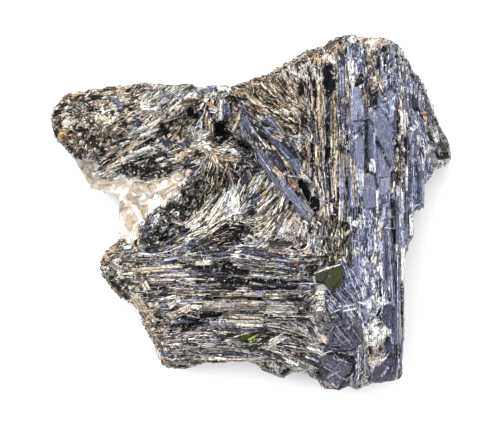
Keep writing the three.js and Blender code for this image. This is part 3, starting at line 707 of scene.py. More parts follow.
            "337 307.5 352 304.5 2 0.4; 350 305 357 303 2.4 0.4; 362 322 365.5 344 2; "
            "329 297 336 303.5 0.8 0.5; 365 273 368 285 2.4 0.4; 361 287 363 299 2.6 0.4; "
            "371 280 375 292 3 0.4; 393 214 394 228 1 0.6; 383 227.5 395 228.5 0.9 0.8; "
            "373 230 376 252 2.6 0.4; 356 309 361.5 319 2.4 0.6; 383 360 388.5 352 1 1.8; "
            "357 301 367 304 2.6 0.4; 395.5 368 396 381 1.8 0.7",
        "milk":
            "315 293 325 291.5 3.4 0.5; 314 298.5 325 296.5 4 0.6; 316 303.5 325 303 4 0.5; "
            "315 309 323 308 4 0.4; 312.5 274 341 264 1.2 1",
        "slate":
            "345 286 360 300 2; 386 232 386.3 284 0.5 0.7; 366 354 367 381 2; 333 290 345 305 2; "
            "337 289 351 304 2; 341 287.5 356 303 2; 346 270 358 290 2; 349.5 267 361 285 2; "
            "343 278 354 294 2; 338 322 357 345 0.7 0.9",
        "slate_pale":
            "390 240 389.6 284 0.6 0.7; 396.8 250 397.2 345 0.7 1.4; 343 287 358 301 0.8 0.7; "
            "387.6 231 387.6 262 0.5 0.7; 388.5 307 389 326 0.5 0.8; 343 311 357 308 2 0.9; "
            "335 290.5 347.5 304.5 0.8 0.5; 358 347 358 384 1.2; 389 236 388.6 270 0.5 0.7",
        # The first lilac stroke, a pale line on the edge between two broad faces, is partly painted
        # highlight.
        "lilac":
            "334 323.5 352 346 0.7 0.9; 351 323 347 331 0.8 0.9; 321.5 365 348 381 1.2 1.9; "
            "336 357.5 354 364 0.8 1.9; 334 353 340 360 0.6 1.9; 323.5 353 332 350 0.8 1.9; "
            "329 345.5 346 343.5 0.6 0.7; 352 319 353 333 0.5 0.7; 333 331 343 343.5 0.6 0.9; "
            "346 320 361 341 0.6 0.9; 327 350.5 346 353 0.8 0.9; 330 332 334 325 0.8 0.9",
        "grey_pale": "399 300 399.5 345 1.6 1.3; 330 313 340 309 1.6 0.8; 351 374 351 386 2.2",
        "deep": "384.5 240 385 280 0.5 0.7; 387 306 386 326 0.6 0.7",
        "slate_dark": "392.8 258 392.8 282 1.2 0.6; 353 327 357 338 1.6 0.7",
        "brown": "397.5 347 398.5 379 3 0.1",
        "rust": "371.5 345 371.5 355 1.4",
        "pink_beige": "324 381 334 387 4 1.3",
        "cream": "358 312 362 318 2; 366.5 334 367 345 3",
        "grey": "365.3 347 366 386 1.4",
    },
    "arm_edge": {
        "amber": "103 258 117 247 3 0.5",
        "brown": "121 256 131 262 4; 181 362 195 360 3; 116 284 128.5 300 5; 107 256 117 252 6 0.8",
        "brown_black": "109 277 121 291 6; 179 262 201 268 3",
        "grey_pale":
            "183 256 197 260 3.4 0.6; 119 277 136 278 3.4 0.4; 159 275 191 275 3 0.8; "
            "151 298 171 290 2 0.4; 112 262 118 269 6",
        "grey":
            "107 271 113 277 4; 105.5 277 122 298 2.4; 159 251 177 246 3; 179 358.5 191 350 3; "
            "196 329 207 327 3; 204 333 208 343 3; 197 258 215 262 5",
        "purple_grey": "124 263 135 260 3",
        "white": "185 304 201 308 5 0.4; 136 254 161 256 4 0.9; 169 307 181 298 5 0.8",
        "cream":
            "133 293 141 301 5; 170 317 197 304 7 0.4; 127 270 186 266 3 1; 142 283 147 291 3 1.3; "
            "145 281 150 290 3 1.3; 116 275 141 272 2 0.4",
        "lilac": "164 270 199 271.5 3 0.5",
        "black":
            "174 319 222 314 7 -0.3; 169 326 209 324 4.5 -0.5; 181 330 197 327 5 -0.4; "
            "151 290 167 286 2 0.8; 171 244 183 244 3",
        "slate_pale": "164 260 181 257 3 1",
        "blue_black": "124 282 141 283 6 0.1; 189 350 201 352.5 3; 195 251 205 250 4 0.9",
        "beige": "131.5 296 150 321 5; 140 300 153 319 4; 145 321 156 339 4; 139 272 167 268.5 4 1",
        "slate_dark": "161 353 173 356 5; 161 308 168.5 304 5",
        "slate": "171 322.5 209 321 1.8; 179 251 193 248 3",
        "olive_black": "179 366 189 366 3 0.1",
        "yellow_green": "195 358 203 363 6 0.2",
        "pink_beige": "158 349 162 360 4",
    },
    "arm": {
        "cream":
            "195 263 213 262 5; 269 298 289 297 2 0.4; 235 324 265 325.5 3 0.4; 203 360.5 281 361 1.6 0.2; "
            "283 356 299 366 2.4; 321 335 328 343 5 0.4; 239 316 269 316 5 0.8",
        "black":
            "195 266 217 267 2.4 0.1; 217 280 249 281 7 -0.4; 251 281 311 281 5 -0.3; "
            "265 288 297 288 4 -0.2; 221 287.5 237 288.5 3 0.6; 251 287 263 288 4 0.7; "
            "213 262 237 264 4 -0.7; 195 281.5 217 281.5 2.4 0.9; 205 298.5 263 298.5 4 -0.9; "
            "225 336 245 334 3 0.9",
        "purple_grey": "207 330 265 329.5 4; 211 353.5 263 355 3; 285 340 301 346 4",
        "blue_black": "217 268 249 272 7 -0.1",
        "grey_pale":
            "207 358 263 358 3 0.4; 314 325 318 335 4; 225 321 269 321 3 0.7; 267 345 287 334 7 0.8; "
            "263 323 281 325.5 5 0.7; 265 309.5 298.5 310 6 0.8; 268 304 294 305 4 0.6",
        "slate_pale": "255 292 265 292.5 4 0.5",
        "olive": "205 290 219 289 3",
        "tan": "225 294 257 294 4; 228 315 239 316 5 0.9",
        "lilac": "211 323 241 323.5 4 0.4; 275 277 309 278 2.4 0.4; 307 319 312 341 4",
        "olive_black":
            "287 299 311 298 5; 264.5 331 275 330.5 10; 287 336 305 336 4; 275 343 291 346 2.4; "
            "249 350 269 338 6 0.8",
        "deep": "239 311.5 259 311.5 3 0.6",
        "brown_black": "289 352 303 358 4; 292 264 301 263 4",
        "yellow_green": "249 341 259.5 334 5 1",
        "white": "305 346 321 352 3; 315 348 325 356 4",
        "grey":
            "215 342.5 251 348 3; 237 304.5 264 305 3 0.4; 203 304 237 304.5 5 0.5; "
            "199 308.5 263 308.5 4 0.5; 263 293 291 294.5 3; 312 312 326 314 2.4; 195 285 213 285.5 2 0.8",
        "slate_dark": "235 286 289 284.5 1.3 0.5",
        "moss": "239 338 259 334 6 0.5",
        "cool_white": "305 356 320 362 2.4 1.3",
    },
}

# ---- Chunks of quartz: column, row, width and length in squares, degrees, tone ----
QUARTZ = [
    (97, 185, 10, 17, -10, "milk"), (110, 186, 13, 18, -8, "milk"), (121, 188, 13, 15, -20, "milk"),
    (133, 187, 9, 11, 10, "grey_pale"), (145, 188, 12, 14, 30, "cream"), (157, 186, 11, 14, 10, "cream"),
    (169, 181, 13, 16, 25, "milk"), (180, 179, 12, 15, 35, "milk"), (176, 189, 9, 13, 50, "milk"),
    (163, 194, 9, 15, 35, "pink_beige"), (150, 199, 12, 15, 25, "milk"), (138, 200, 11, 13, 0, "beige"),
    (129, 207, 11, 13, -40, "milk"), (147, 208, 8, 11, 40, "beige"), (123, 206, 6, 17, 82, "grey"),
    (137, 216, 11, 13, 60, "pink_beige"), (129, 216, 9, 12, 20, "cream"), (131, 225, 12, 14, 60, "beige"),
    (127, 237, 13, 12, 80, "cream"), (138, 231, 7, 14, 75, "cream"), (131, 196, 9, 11, -15, "beige"),
    (116, 181, 7, 12, 0, "milk"), (86, 170, 7, 13, -60, "grey"), (89, 179, 7, 9, -50, "grey_pale"),
    (190, 172, 6, 9, 40, "green_white"),
]

# ---- Broad faces: outline, direction in degrees, tones, lift in mm, share of strewn pieces left on it ----
PLATES = [
    # The first face covers the dark hole: a raised black face, painted shade where the rock is hollow.
    ("300 183  307 184  312 189  318 197  319 206  316 212  313 208  308 201  304 194  299 188",
     -50, "black/black", 1.0, 0),
    # The slate faces of the right mass: their pale slate tones are partly their own colour and partly painted
    # sheen.
    ("353 88  358 87  362 104  365 120  352 121", 90, "slate_pale/slate", 0.5, 0.06),
    ("352 122.5  364 122.5  363.5 150  363.5 168  356 168  353.5 146", 90, "slate/slate_pale", 0.5, 0.06),
    ("367 124  371.5 125  375 142  376 160  374 158  367.5 160", 90, "slate/slate_dark", 0.35, 0.06),
    ("367 116  372 111  380 108  388 122  391 131  392 150  393 168  385 155  378 141  372 123",
     97, "slate/slate_dark", 0.5, 0.06),
    ("384 112  390 104  396 112  396 140  393 140  391.5 128", 92, "slate_dark/slate", 0.3, 0.06),
    ("376.5 146  383 159  390 173  390 177  379 178  378 162", 95, "slate/slate_pale", 0.4, 0.06),
    ("364 175  368 172  374 177  376 190  375 207  365 209  362 196", 90, "slate/slate_dark", 0.45, 0.06),
    ("380 179  388 177  390 190  389 207  381 207  379 190", 90, "slate_pale/slate", 0.45, 0.06),
    ("407 132  416 131  416.5 145  416 158  407.5 159", 90, "slate/slate_dark", 0.35, 0.06),
    ("245 116.5  248 119  253 128  259 146  256.5 151  251 145.5  243 134.5  239.5 127",
     -58, "slate/slate_dark", 0.6, 0),
    ("253 133  258 141  261 150  259 149", -60, "deep/slate_dark", 0.5, 0),
    ("256.5 151  262 149.5  271 164  274 173  286 191  281 193  268 176  259 162",
     -56, "slate/grey", 0.7, 0),
    ("282 187  287 185.5  291.5 188  297 196  301 201  312.5 210.5  314 214  310 219.5  306 221  "
     "303 216  297 208  289.5 200  284 194",
     -50, "slate/lilac", 1.4, 0),
    ("269 152.5  275.5 149.5  283 161  284.5 172  280.5 172.5  272.5 163  267.5 156.5",
     -58, "deep/purple_grey", 1, 0),
    ("271 137.5  280 142  288 147.5  296 158  298 170  294 168  285 157  276 147",
     -52, "slate_dark/slate", 0.6, 0),
    ("288 159  296 159.5  300.5 170  298.5 176  291 167", -55, "slate/slate_pale", 0.6, 0),
    ("155 133.5  163 135  172 142  174 150  166 147  160 140", -35, "deep/slate_dark", 0.6, 0),
    # Slate faces lower on the right mass, partly painted sheen as above.
    ("383 229.5  390.5 229.5  390.5 262  390 286  384.5 287  382 262", 90, "slate/slate_dark", 0.35, 0.1),
    ("384.5 206  390 206  390.5 227  384 227", 90, "slate/slate_pale", 0.35, 0.1),
    ("395 206  398 208  398 250  399 300  399 344  394.5 344  394 300  393.5 262  395 240",
     90, "slate/slate_dark", 0.3, 0.1),
    ("383 307  387 303  392 305  392.5 330  386 326  380 318", 80, "slate_dark/deep", 0.35, 0.06),
    ("386 337  391 336  391.5 357  387 350  385 343", 90, "slate_dark/deep", 0.35, 0.06),
    ("315.5 274  323 270.5  331 268.5  338 266  343 267  344.5 273  342 280  339 287  330 290  327 288  "
     "325 283  316 281",
     40, "olive/olive_black", 1.3, 0),
    ("317 275  328 271  325 278  322 282  317 281", 40, "olive_black/olive", 1.42, 0),
    ("331 270  339 267.5  342 275  337 284  332 287  329 284  334 277", 60, "olive/moss", 1.42, 0),
    ("312 276  315 275  316 282  325 284  327 290  315 291", 5, "green_white/grey_pale", 0.6, 0.1),
    ("333 323  345 319  350 322  354 334  358 347  348 350  338 350  328 349  329 340  331 331",
     -55, "purple_grey/slate_dark", 0.4, 0),
    ("350.5 321.5  356 316.5  361 318  362.5 330  362 342  358.5 345  354.5 333",
     -50, "purple_grey/slate_dark", 0.4, 0),
    ("323 353  328 350  346 351  357 348  357 357  345 354  333 352", -10, "purple_grey/deep", 0.4, 0),
    ("334 353  346 355.5  357 358.5  356 363  345 361  334.5 358", -12, "deep/brown_black", 0.3, 0),
    ("321 357  331 353.5  335 359  352 364.5  352 367  349 373  343 377  321 364",
     -28, "purple_grey/deep", 1.1, 0),
    ("320 366  340 377  347 381  344 387  338 390  333 386  322 378",
     -30, "purple_grey/slate_dark", 1.2, 0),
    ("375 366  383 364  385 359  392 357  392.5 380  372 381  372 372", 90, "purple_grey/deep", 1.5, 0),
    ("262 362  270 361  280 360  289 366  290 371  284 375  275 373  266 368",
     0, "olive_black/olive", 0.3, 0.06),
]


# ---- Small tools ----
def on_grid(columns, rows):
    """The x and y in metres of places on the grid."""
    x = (np.asarray(columns, float) - MIDDLE_COLUMN) * SQUARE
    y = (MIDDLE_ROW - np.asarray(rows, float)) * SQUARE
    return x, y


def to_grid(x, y):
    """The columns and rows of points in metres."""
    return x / SQUARE + MIDDLE_COLUMN, MIDDLE_ROW - y / SQUARE


def linear(tone):
    """A named tone as linear red, green and blue."""
    seen = np.array(TONES[tone]) / 255
    return np.where(seen <= 0.04045, seen / 12.92, ((seen + 0.055) / 1.055) ** 2.4)


def within(columns, rows, outline):
    """Which places lie inside an outline on the grid."""
    inside = np.zeros(len(columns), bool)
    for (c0, r0), (c1, r1) in zip(outline, np.roll(outline, -1, axis=0)):
        crosses = (r0 > rows) != (r1 > rows)
        level = (rows - r0) / (r1 - r0 if r1 != r0 else 1e-9)
        inside ^= crosses & (columns < c0 + (c1 - c0) * level)
    return inside


def rows_of(size, text):
    """The numbers in a text, in rows of one size."""
    return np.array(text.replace(";", " ").split(), float).reshape(-1, size)


@lru_cache
def all_zones():
    """Each zone's texture, outline, palette from dark to light and running shares; plain rock comes last."""
    zones = []
    for texture, outline, tones in [*ZONES.values(), ("striped", "", BACK_TONES)]:
        pairs = [pair.split() for pair in tones.split(", ")]
        palette = np.array([linear(tone) for tone, _share in pairs])
        darkest_first = np.argsort(palette.sum(1))
        shares = np.array([float(share) for _tone, share in pairs])[darkest_first]
        running = np.cumsum(shares) / shares.sum()
        zones.append((TEXTURES[texture], rows_of(2, outline), palette[darkest_first], running))
    return zones


def of_textures(*fields):
    """One row of numbers for each zone's texture, plain rock's last, from the named fields."""
    return np.array([np.hstack([getattr(zone[0], field) for field in fields]) for zone in all_zones()])


@lru_cache
def all_plates():
    """The broad faces, with their outlines as numbers."""
    return [(rows_of(2, plate[0]), *plate[1:]) for plate in PLATES]


def room_at(places):
    """The share of strewn pieces that stays at each place: little on broad faces, laid blades and slits."""
    columns, rows = to_grid(places[:, 0], places[:, 1])
    room = np.ones(len(places))
    for outline, *_rest, left in all_plates():
        room[within(columns, rows, outline)] = left
    over = laid_over(places[:, 0], places[:, 1])
    room[over >= 0] = np.where(all_laid()[4][over[over >= 0]] < 0, ROOM_IN_SLIT, ROOM_ON_BLADE)
    return room


def zones_at(x, y):
    """The zone's index for each point, or -1: later zones lie over earlier ones, and their edges waver."""
    columns, rows = to_grid(x, y)
    slow_right = 1.6 * np.sin(rows * 0.41 + 1.2 * np.sin(columns * 0.23))
    fine_right = 1.1 * np.sin(rows * 1.07 + columns * 0.6)
    slow_down = 1.6 * np.sin(columns * 0.37 + 1.2 * np.sin(rows * 0.29))
    fine_down = 1.1 * np.sin(columns * 1.13 - rows * 0.5)
    columns, rows = columns + slow_right + fine_right, rows + slow_down + fine_down
    found = np.full(len(x), -1)
    for index, (_texture, outline, *_tones) in enumerate(all_zones()[:-1]):
        found[within(columns, rows, outline)] = index
    return found


def grain_at(x, y):
    """The direction of the rock's grain in plan, blended between its guides."""
    guides = rows_of(3, GRAIN_GUIDES)
    gx, gy = on_grid(guides[:, 0], guides[:, 1])
    doubled = np.radians(guides[:, 2]) * 2
    blur = 0.6 * MM
    weights = 1 / ((x[:, None] - gx) ** 2 + (y[:, None] - gy) ** 2 + blur**2) ** 1.8
    return 0.5 * np.arctan2((weights * np.sin(doubled)).sum(1), (weights * np.cos(doubled)).sum(1))


def over_grain(points, angle):
    """How far points lie across the grain and along it."""
    across = points[:, 1] * np.cos(angle) - points[:, 0] * np.sin(angle)
    along = points[:, 0] * np.cos(angle) + points[:, 1] * np.sin(angle)
    return across, along


def streaks(points, angle, across, along, seed=0.0):
    """A smooth pattern between about -1 and 1, drawn out along the grain; across and along are per metre."""
    lower = np.floor(angle / TURN_STEP)
    blend = angle / TURN_STEP - lower
    total = np.zeros(len(points))
    for turn, weight in ((lower, 1 - blend), (lower + 1, blend)):
        u, v = over_grain(points, turn * TURN_STEP)
        drift = (turn % 12) * 7.3 + seed
        places = np.stack([u * across + drift, v * along + drift, points[:, 2] * across + drift], axis=1)
        total += weight * np.array([noise.noise(p) + 0.6 * noise.noise(p * 2.1) for p in map(Vector, places)])
    return total


def tones_at(points, zone, facing, jitter, rng):
    """Two linear colours for each point from its zone's tones: its own and that of the streaks through it."""
    colours = np.zeros((2, len(zone), 3))
    angle = grain_at(points[:, 0], points[:, 1])
    x, y, z = points.T / MM
    patch = np.sin(x * 0.9 + 2 * np.sin(z * 0.8))
    patch += np.sin(y * 1.1 + 2 * np.sin(z * 0.6 + x * 0.3))
    patch += np.sin(z * 1.3 + x + y)
    front = facing > np.clip(0.12 * patch - 0.05, -0.35, 0.3) - 0.5 * is_glassy(zone)
    back = all_zones()[-1]
    for index in np.unique(zone):
        own, here = all_zones()[index], zone == index
        across, along = own[0].streak
        for (_texture, _outline, palette, shares), chosen in ((own, here & front), (back, here & ~front)):
            count = chosen.sum()
            pattern = streaks(points[chosen], angle[chosen], across / MM, along / MM, seed=float(index))
            pattern = pattern * 2.2 + rng.normal(0, jitter, count)
            level = np.argsort(np.argsort(pattern)) / max(count, 1)
            other = (level + rng.normal(0, 0.4, count)) % 1
            for which, at in enumerate((level, other)):
                picked = np.searchsorted(shares, at, side="right").clip(0, len(shares) - 1)
                colours[which, chosen] = palette[picked]
    return colours


def is_glassy(zone):
    """Which zones are quartz, that no strand grows over."""
    return of_textures("strands")[zone, 0] == 0


def unit(vectors):
    """The vectors at length one."""
    return vectors / np.maximum(np.linalg.norm(vectors, axis=-1, keepdims=True), 1e-12)


def of_kind(kind, items):
    """Those of a bmesh step's items that are points, edges or faces."""
    return [item for item in items if isinstance(item, kind)]


def bevel_edges(bm, edges, offset):
    """Takes the sharpness off edges with one narrow facet."""
    bmesh.ops.bevel(bm, geom=edges, offset=offset, segments=1, profile=0.5, affect="EDGES", material=-1)


# ---- Shapes that are strewn by the thousand ----
def template(bm):
    """A small mesh as its corners and faces."""
    bm.verts.index_update()
    corners = np.array([v.co[:] for v in bm.verts])
    faces = [[v.index for v in f.verts] for f in bm.faces]
    bm.free()
    return corners, faces


def blade_template():
    """A four-sided crystal along Y, one unit long and wide, a little narrower at its far end."""
    bm = bmesh.new()
    bmesh.ops.create_cone(bm, cap_ends=True, segments=4, radius1=0.5, radius2=0.4, depth=1)
    lie_down = Vector((0, 0, 1)).rotation_difference(Vector((0, 1, 0))).to_matrix()
    bmesh.ops.rotate(bm, verts=bm.verts, cent=(0, 0, 0), matrix=lie_down)
    return template(bm)


def plank_template():
    """A flat-topped slab along Y, one unit long and wide, narrower at its far end and towards its top."""
    bm = bmesh.new()
    bmesh.ops.create_cube(bm, size=1)
    top = [v for v in bm.verts if v.co.z > 0]
    bmesh.ops.scale(bm, verts=top, vec=(0.86, 0.97, 1))
    far = [v for v in bm.verts if v.co.y > 0]
    bmesh.ops.scale(bm, verts=far, vec=(0.84, 1, 1))
    return template(bm)


def grain_template():
    """A blocky grain one unit across, of eight faces."""
    bm = bmesh.new()
    bmesh.ops.create_cone(bm, cap_ends=False, segments=4, radius1=0.5, radius2=0, depth=0.5)
    bmesh.ops.translate(bm, verts=bm.verts, vec=(0, 0, 0.25))
    lower = bmesh.ops.duplicate(bm, geom=bm.verts[:] + bm.edges[:] + bm.faces[:])["geom"]
    bmesh.ops.scale(bm, verts=of_kind(BMVert, lower), vec=(1, 1, -1))
    bmesh.ops.reverse_faces(bm, faces=of_kind(BMFace, lower))
    bmesh.ops.remove_doubles(bm, verts=bm.verts, dist=1e-5)
    return template(bm)


def set_attribute(mesh, name, values):
    """Stores a number, a vector or a colour for each point of a mesh."""
    kinds = {1: ("FLOAT", "value"), 3: ("FLOAT_VECTOR", "vector"), 4: ("FLOAT_COLOR", "color")}
    kind, field = kinds[values.shape[1] if values.ndim == 2 else 1]
    holder = mesh.color_attributes if kind == "FLOAT_COLOR" else mesh.attributes
    holder.new(name, kind, "POINT").data.foreach_set(field, values.astype(np.float32).ravel())


def set_tones(mesh, colours, dirt):
    """Stores a point's own tone, the one of its streaks, and how dirty it is from 0 to 1."""
    for name, values in zip(("tone", "streak_tone"), colours):
        set_attribute(mesh, name, np.hstack([values, np.ones((len(values), 1))]))
    set_attribute(mesh, "dirt", np.broadcast_to(dirt, len(colours[0])))


def values_of(items, field, size=1):
    """A field of all the points or faces of a mesh, in rows where it has more than one number."""
    values = np.empty(len(items) * size)
    items.foreach_get(field, values)
    return values.reshape(-1, size) if size > 1 else values


def dirt_at(zone):
    """How dirty each zone's rock is, from its texture."""
    return of_textures("dirt")[zone, 0]


def strewn_mesh(name, shape, centres, axes, sizes, colours, shift, rng, dirt=1.0):
    """Joins many copies of one shape, each with its centre, three axes, size along them and tones.

    The attribute lie holds places along and across each copy, drawn out along it.
    """
    corners, faces = shape
    count, points = len(centres), len(corners)
    local = corners[None] * (1 + rng.uniform(-shift, shift, (count, points, 1)))
    slant = rng.uniform(-0.5, 0.5, (count, 1)) * (sizes[:, :1] / np.maximum(sizes[:, 1:2], 1e-9))
    local[:, :, 1] += local[:, :, 0] * slant * np.sign(local[:, :, 1])
    scaled = local * sizes[:, None, :]
    placed = centres[:, None] + np.einsum("nki,nij->nkj", scaled, axes)
    placed[:, :, 2] -= np.minimum(placed[:, :, 2].min(1, keepdims=True), 0)
    drawn = scaled / MM * np.array([1, STREAK_LENGTH, 1]) + rng.uniform(0, 500, (count, 1, 3))
    return joined_mesh(name, placed, faces, colours, drawn, dirt)


def joined_mesh(name, placed, faces, colours, lie, dirt):
    """One mesh of many copies: the corners of each, the faces they share, and the tones and lie of each."""
    count, points = placed.shape[:2]
    mesh = bpy.data.meshes.new(name)
    mesh.vertices.add(count * points)
    mesh.vertices.foreach_set("co", placed.astype(np.float32).ravel())
    pattern = np.concatenate([np.array(f) for f in faces])
    loops = (pattern[None] + (np.arange(count) * points)[:, None]).ravel()
    ends = np.cumsum([0] + [len(f) for f in faces])[:-1]
    starts = (ends[None] + (np.arange(count) * len(pattern))[:, None]).ravel()
    mesh.loops.add(len(loops))
    mesh.loops.foreach_set("vertex_index", loops.astype(np.int32))
    mesh.polygons.add(len(starts))
    mesh.polygons.foreach_set("loop_start", starts.astype(np.int32))
    mesh.update(calc_edges=True)
    set_tones(mesh, np.repeat(colours, points, axis=1), np.repeat(np.broadcast_to(dirt, count), points))
    set_attribute(mesh, "lie", lie.reshape(-1, 3))
    return mesh


def add_piece(name, mesh, material):
    """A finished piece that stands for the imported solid."""
    piece = bpy.data.objects.new(name, mesh)
    bpy.context.scene.collection.objects.link(piece)
    mesh.materials.clear()
    mesh.materials.append(material)
    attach(piece, "root")
    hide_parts(NODE)
    return piece


# ---- Materials ----
def new_group(name, inputs, outputs):
    """An empty shader group with named sockets."""
    group = bpy.data.node_groups.new(name, "ShaderNodeTree")
    for label, kind, value in inputs:
        socket = group.interface.new_socket(label, in_out="INPUT", socket_type="NodeSocket" + kind)
        if value is not None:
            socket.default_value = value
    for label, kind in outputs:
        group.interface.new_socket(label, in_out="OUTPUT", socket_type="NodeSocket" + kind)
    return group, group.nodes.new("NodeGroupInput").outputs, group.nodes.new("NodeGroupOutput")


def new_material(name):
    """A material, its tree of nodes and its shader."""
    material = bpy.data.materials.new(name)
    material.use_nodes = True
    return material, material.node_tree, material.node_tree.nodes["Principled BSDF"]


def feed(node, inputs):
    """Gives each named input of a node its value, or links it to the socket that feeds it."""
    for label, given in inputs.items():
        if isinstance(given, bpy.types.NodeSocket):
            node.id_data.links.new(given, node.inputs[label])
        else:
            node.inputs[label].default_value = given
    return node


def add_node(tree, kind, inputs=None, **settings):
    """A new shader node with its settings, fed."""
    node = tree.nodes.new("ShaderNode" + kind)
    for name, value in settings.items():
        setattr(node, name, value)
    return feed(node, inputs or {})


def worked_out(tree, operation, *values):
    """What a sum gives."""
    return add_node(tree, "Math", dict(enumerate(values)), operation=operation).outputs[0]


def mixed(tree, share, first, second):
    """The mix of two colours, by the share of the second."""
    return add_node(tree, "Mix", {0: share, 6: first, 7: second}, data_type="RGBA").outputs[2]


def ranged(tree, value, start, end, low=0, high=1):
    """A value that runs from low to high while the given one runs from start to end."""
    limits = {"Value": value, "From Min": start, "From Max": end, "To Min": low, "To Max": high}
    return add_node(tree, "MapRange", limits).outputs["Result"]


def attribute(tree, name, output="Color"):
    """What the mesh holds for a point under a name."""
    return add_node(tree, "Attribute", attribute_name=name).outputs[output]


def streaked_group():
    """Mixes two tones in fine streaks, with specks of light and dark, and gives the streaks as a height.

    Place and Other Place are two ways the grain may run, and Turn is how far it has turned to the other.
    """
    middle_grey = (0.5, 0.5, 0.5, 1)
    group, given, made = new_group(
        "Streaked rock",
        [("Tone", "Color", middle_grey), ("Streak Tone", "Color", middle_grey), ("Place", "Vector", None),
         ("Other Place", "Vector", None), ("Turn", "Float", 0.0), ("Scale", "Float", 4.0),
         ("Share", "Float", 0.5), ("Contrast", "Float", 0.5), ("Flecks", "Float", 0.5)],
        [("Colour", "Color"), ("Height", "Float")],
    )

    def pattern(detail, factor):
        scale = worked_out(group, "MULTIPLY", given["Scale"], factor)
        blend = add_node(group, "Mix", {0: given["Turn"]})
        for place, socket in (("Place", 2), ("Other Place", 3)):
            inputs = {"Detail": detail, "Roughness": 0.6, "Vector": given[place], "Scale": scale}
            feed(blend, {socket: add_node(group, "TexNoise", inputs).outputs["Fac"]})
        return blend.outputs[0]

    streak, speck = pattern(2, 1.0), pattern(3, 2.3)
    streaked = ranged(group, worked_out(group, "SUBTRACT", given["Share"], streak), -0.03, 0.03)
    tone = mixed(group, streaked, given["Tone"], given["Streak Tone"])
    gain = worked_out(group, "MULTIPLY_ADD", ranged(group, speck, 0.35, 0.65, -1, 1), given["Contrast"], 1)
    colour = add_node(group, "VectorMath", {0: tone, "Scale": gain}, operation="SCALE").outputs[0]
    place = add_node(group, "TexCoord").outputs["Object"]
    fleck = add_node(group, "TexNoise", {"Scale": 2.6 / MM, "Detail": 1, "Vector": place}).outputs["Fac"]
    cluster = add_node(group, "TexNoise", {"Scale": 0.5 / MM, "Vector": place}).outputs["Fac"]
    crowd = ranged(group, cluster, 0.45, 0.62, high=given["Flecks"])
    light, dark = (0.62, 0.6, 0.56, 1), (0.004, 0.004, 0.004, 1)
    colour = mixed(group, ranged(group, fleck, 0.6, 0.68, high=crowd), colour, light)
    colour = mixed(group, ranged(group, fleck, 0.42, 0.34, high=given["Flecks"]), colour, dark)
    feed(made, {"Colour": colour, "Height": speck})
    return group


def rock_material(
    name, group, roughness=0.36, gloss=0.16, share=0.46, contrast=0.85, flecks=0.8, bump=0.4, turning=False,
):
    """Rock with its tones and the lie of its grain from the mesh."""
    material, tree, shader = new_material(name)
    streaked = add_node(tree, "Group", node_tree=group)
    feed(streaked, {"Scale": STREAKS_PER_MM, "Share": share})
    feed(streaked, {"Tone": attribute(tree, "tone"), "Streak Tone": attribute(tree, "streak_tone")})
    feed(streaked, {"Place": attribute(tree, "lie", "Vector")})
    if turning:
        feed(streaked, {"Other Place": attribute(tree, "other_lie", "Vector")})
        feed(streaked, {"Turn": attribute(tree, "turn", "Fac")})
    dirt = attribute(tree, "dirt", "Fac")
    for socket, value in (("Flecks", flecks), ("Contrast", contrast)):
        feed(streaked, {socket: worked_out(tree, "MULTIPLY", dirt, value)})
    height = {"Strength": bump, "Distance": 0.15 * MM, "Height": streaked.outputs["Height"]}
    raised = add_node(tree, "Bump", height).outputs["Normal"]
    feed(shader, {"Roughness": roughness, "Specular IOR Level": gloss})
    feed(shader, {"Base Color": streaked.outputs["Colour"], "Normal": raised})
    return material


# ---- Laying blades one by one ----
@lru_cache
def all_laid():
    """Each laid blade's and slit's middle, direction, length, width and lift in metres, and its tones."""
    rng = np.random.default_rng(PARTNER_SEED)
    rows, tones = [], []
    for group in LAID.values():
        for tone, strokes in group.items():
            for stroke in strokes.split(";"):
                values = [float(value) for value in stroke.split()]
                rows.append(values if len(values) == 6 else [*values, LAID_LIFT])
                tones.append((linear(tone), linear(rng.choice(PARTNERS[tone].split()))))
    rows = np.array(rows)
    x0, y0 = on_grid(rows[:, 0], rows[:, 1])
    x1, y1 = on_grid(rows[:, 2], rows[:, 3])
    middle = np.stack([(x0 + x1) / 2, (y0 + y1) / 2], axis=1)
    reach = np.stack([x1 - x0, y1 - y0], axis=1)
    length = np.linalg.norm(reach, axis=1)
    tones = np.array(tones).transpose(1, 0, 2)
    return middle, reach / length[:, None], length, rows[:, 4] * SQUARE, rows[:, 5] * MM, tones


@lru_cache
def laid_map():
    """The index of the last laid blade or slit over each cell of the map, or -1."""
    middle, way, length, width, _lift, _tones = all_laid()
    side = (np.arange(MAP_SPAN) + 0.5 - MAP_SPAN / 2) * MAP_CELL
    found = np.full((MAP_SPAN, MAP_SPAN), -1)
    for index in range(len(middle)):
        near = [np.flatnonzero(np.abs(side - at) < length[index] / 2 + width[index]) for at in middle[index]]
        dx, dy = (side[near[0]] - middle[index, 0])[:, None], (side[near[1]] - middle[index, 1])[None]
        along = np.abs(dx * way[index, 0] + dy * way[index, 1]) / (length[index] / 2)
        across = np.abs(dy * way[index, 0] - dx * way[index, 1]) / (width[index] / 2 * (1.1 - 0.5 * along**3))
        patch = found[np.ix_(*near)]
        patch[(along < 1) & (across < 1)] = index
        found[np.ix_(*near)] = patch
    return found


def laid_over(x, y):
    """The index of the last laid blade or slit over each point, or -1."""
    cells = [np.clip((at / MAP_CELL + MAP_SPAN / 2).astype(int), 0, MAP_SPAN - 1) for at in (x, y)]
    return laid_map()[cells[0], cells[1]]


def height_at(x, y):
    """The surface's height and its way up at a point, seen from above."""
    hit, normal, _face, _distance = Surface.tree.ray_cast(Vector((x, y, 0.1)), Vector((0, 0, -1)))
    return (hit.z, normal) if hit else (None, None)


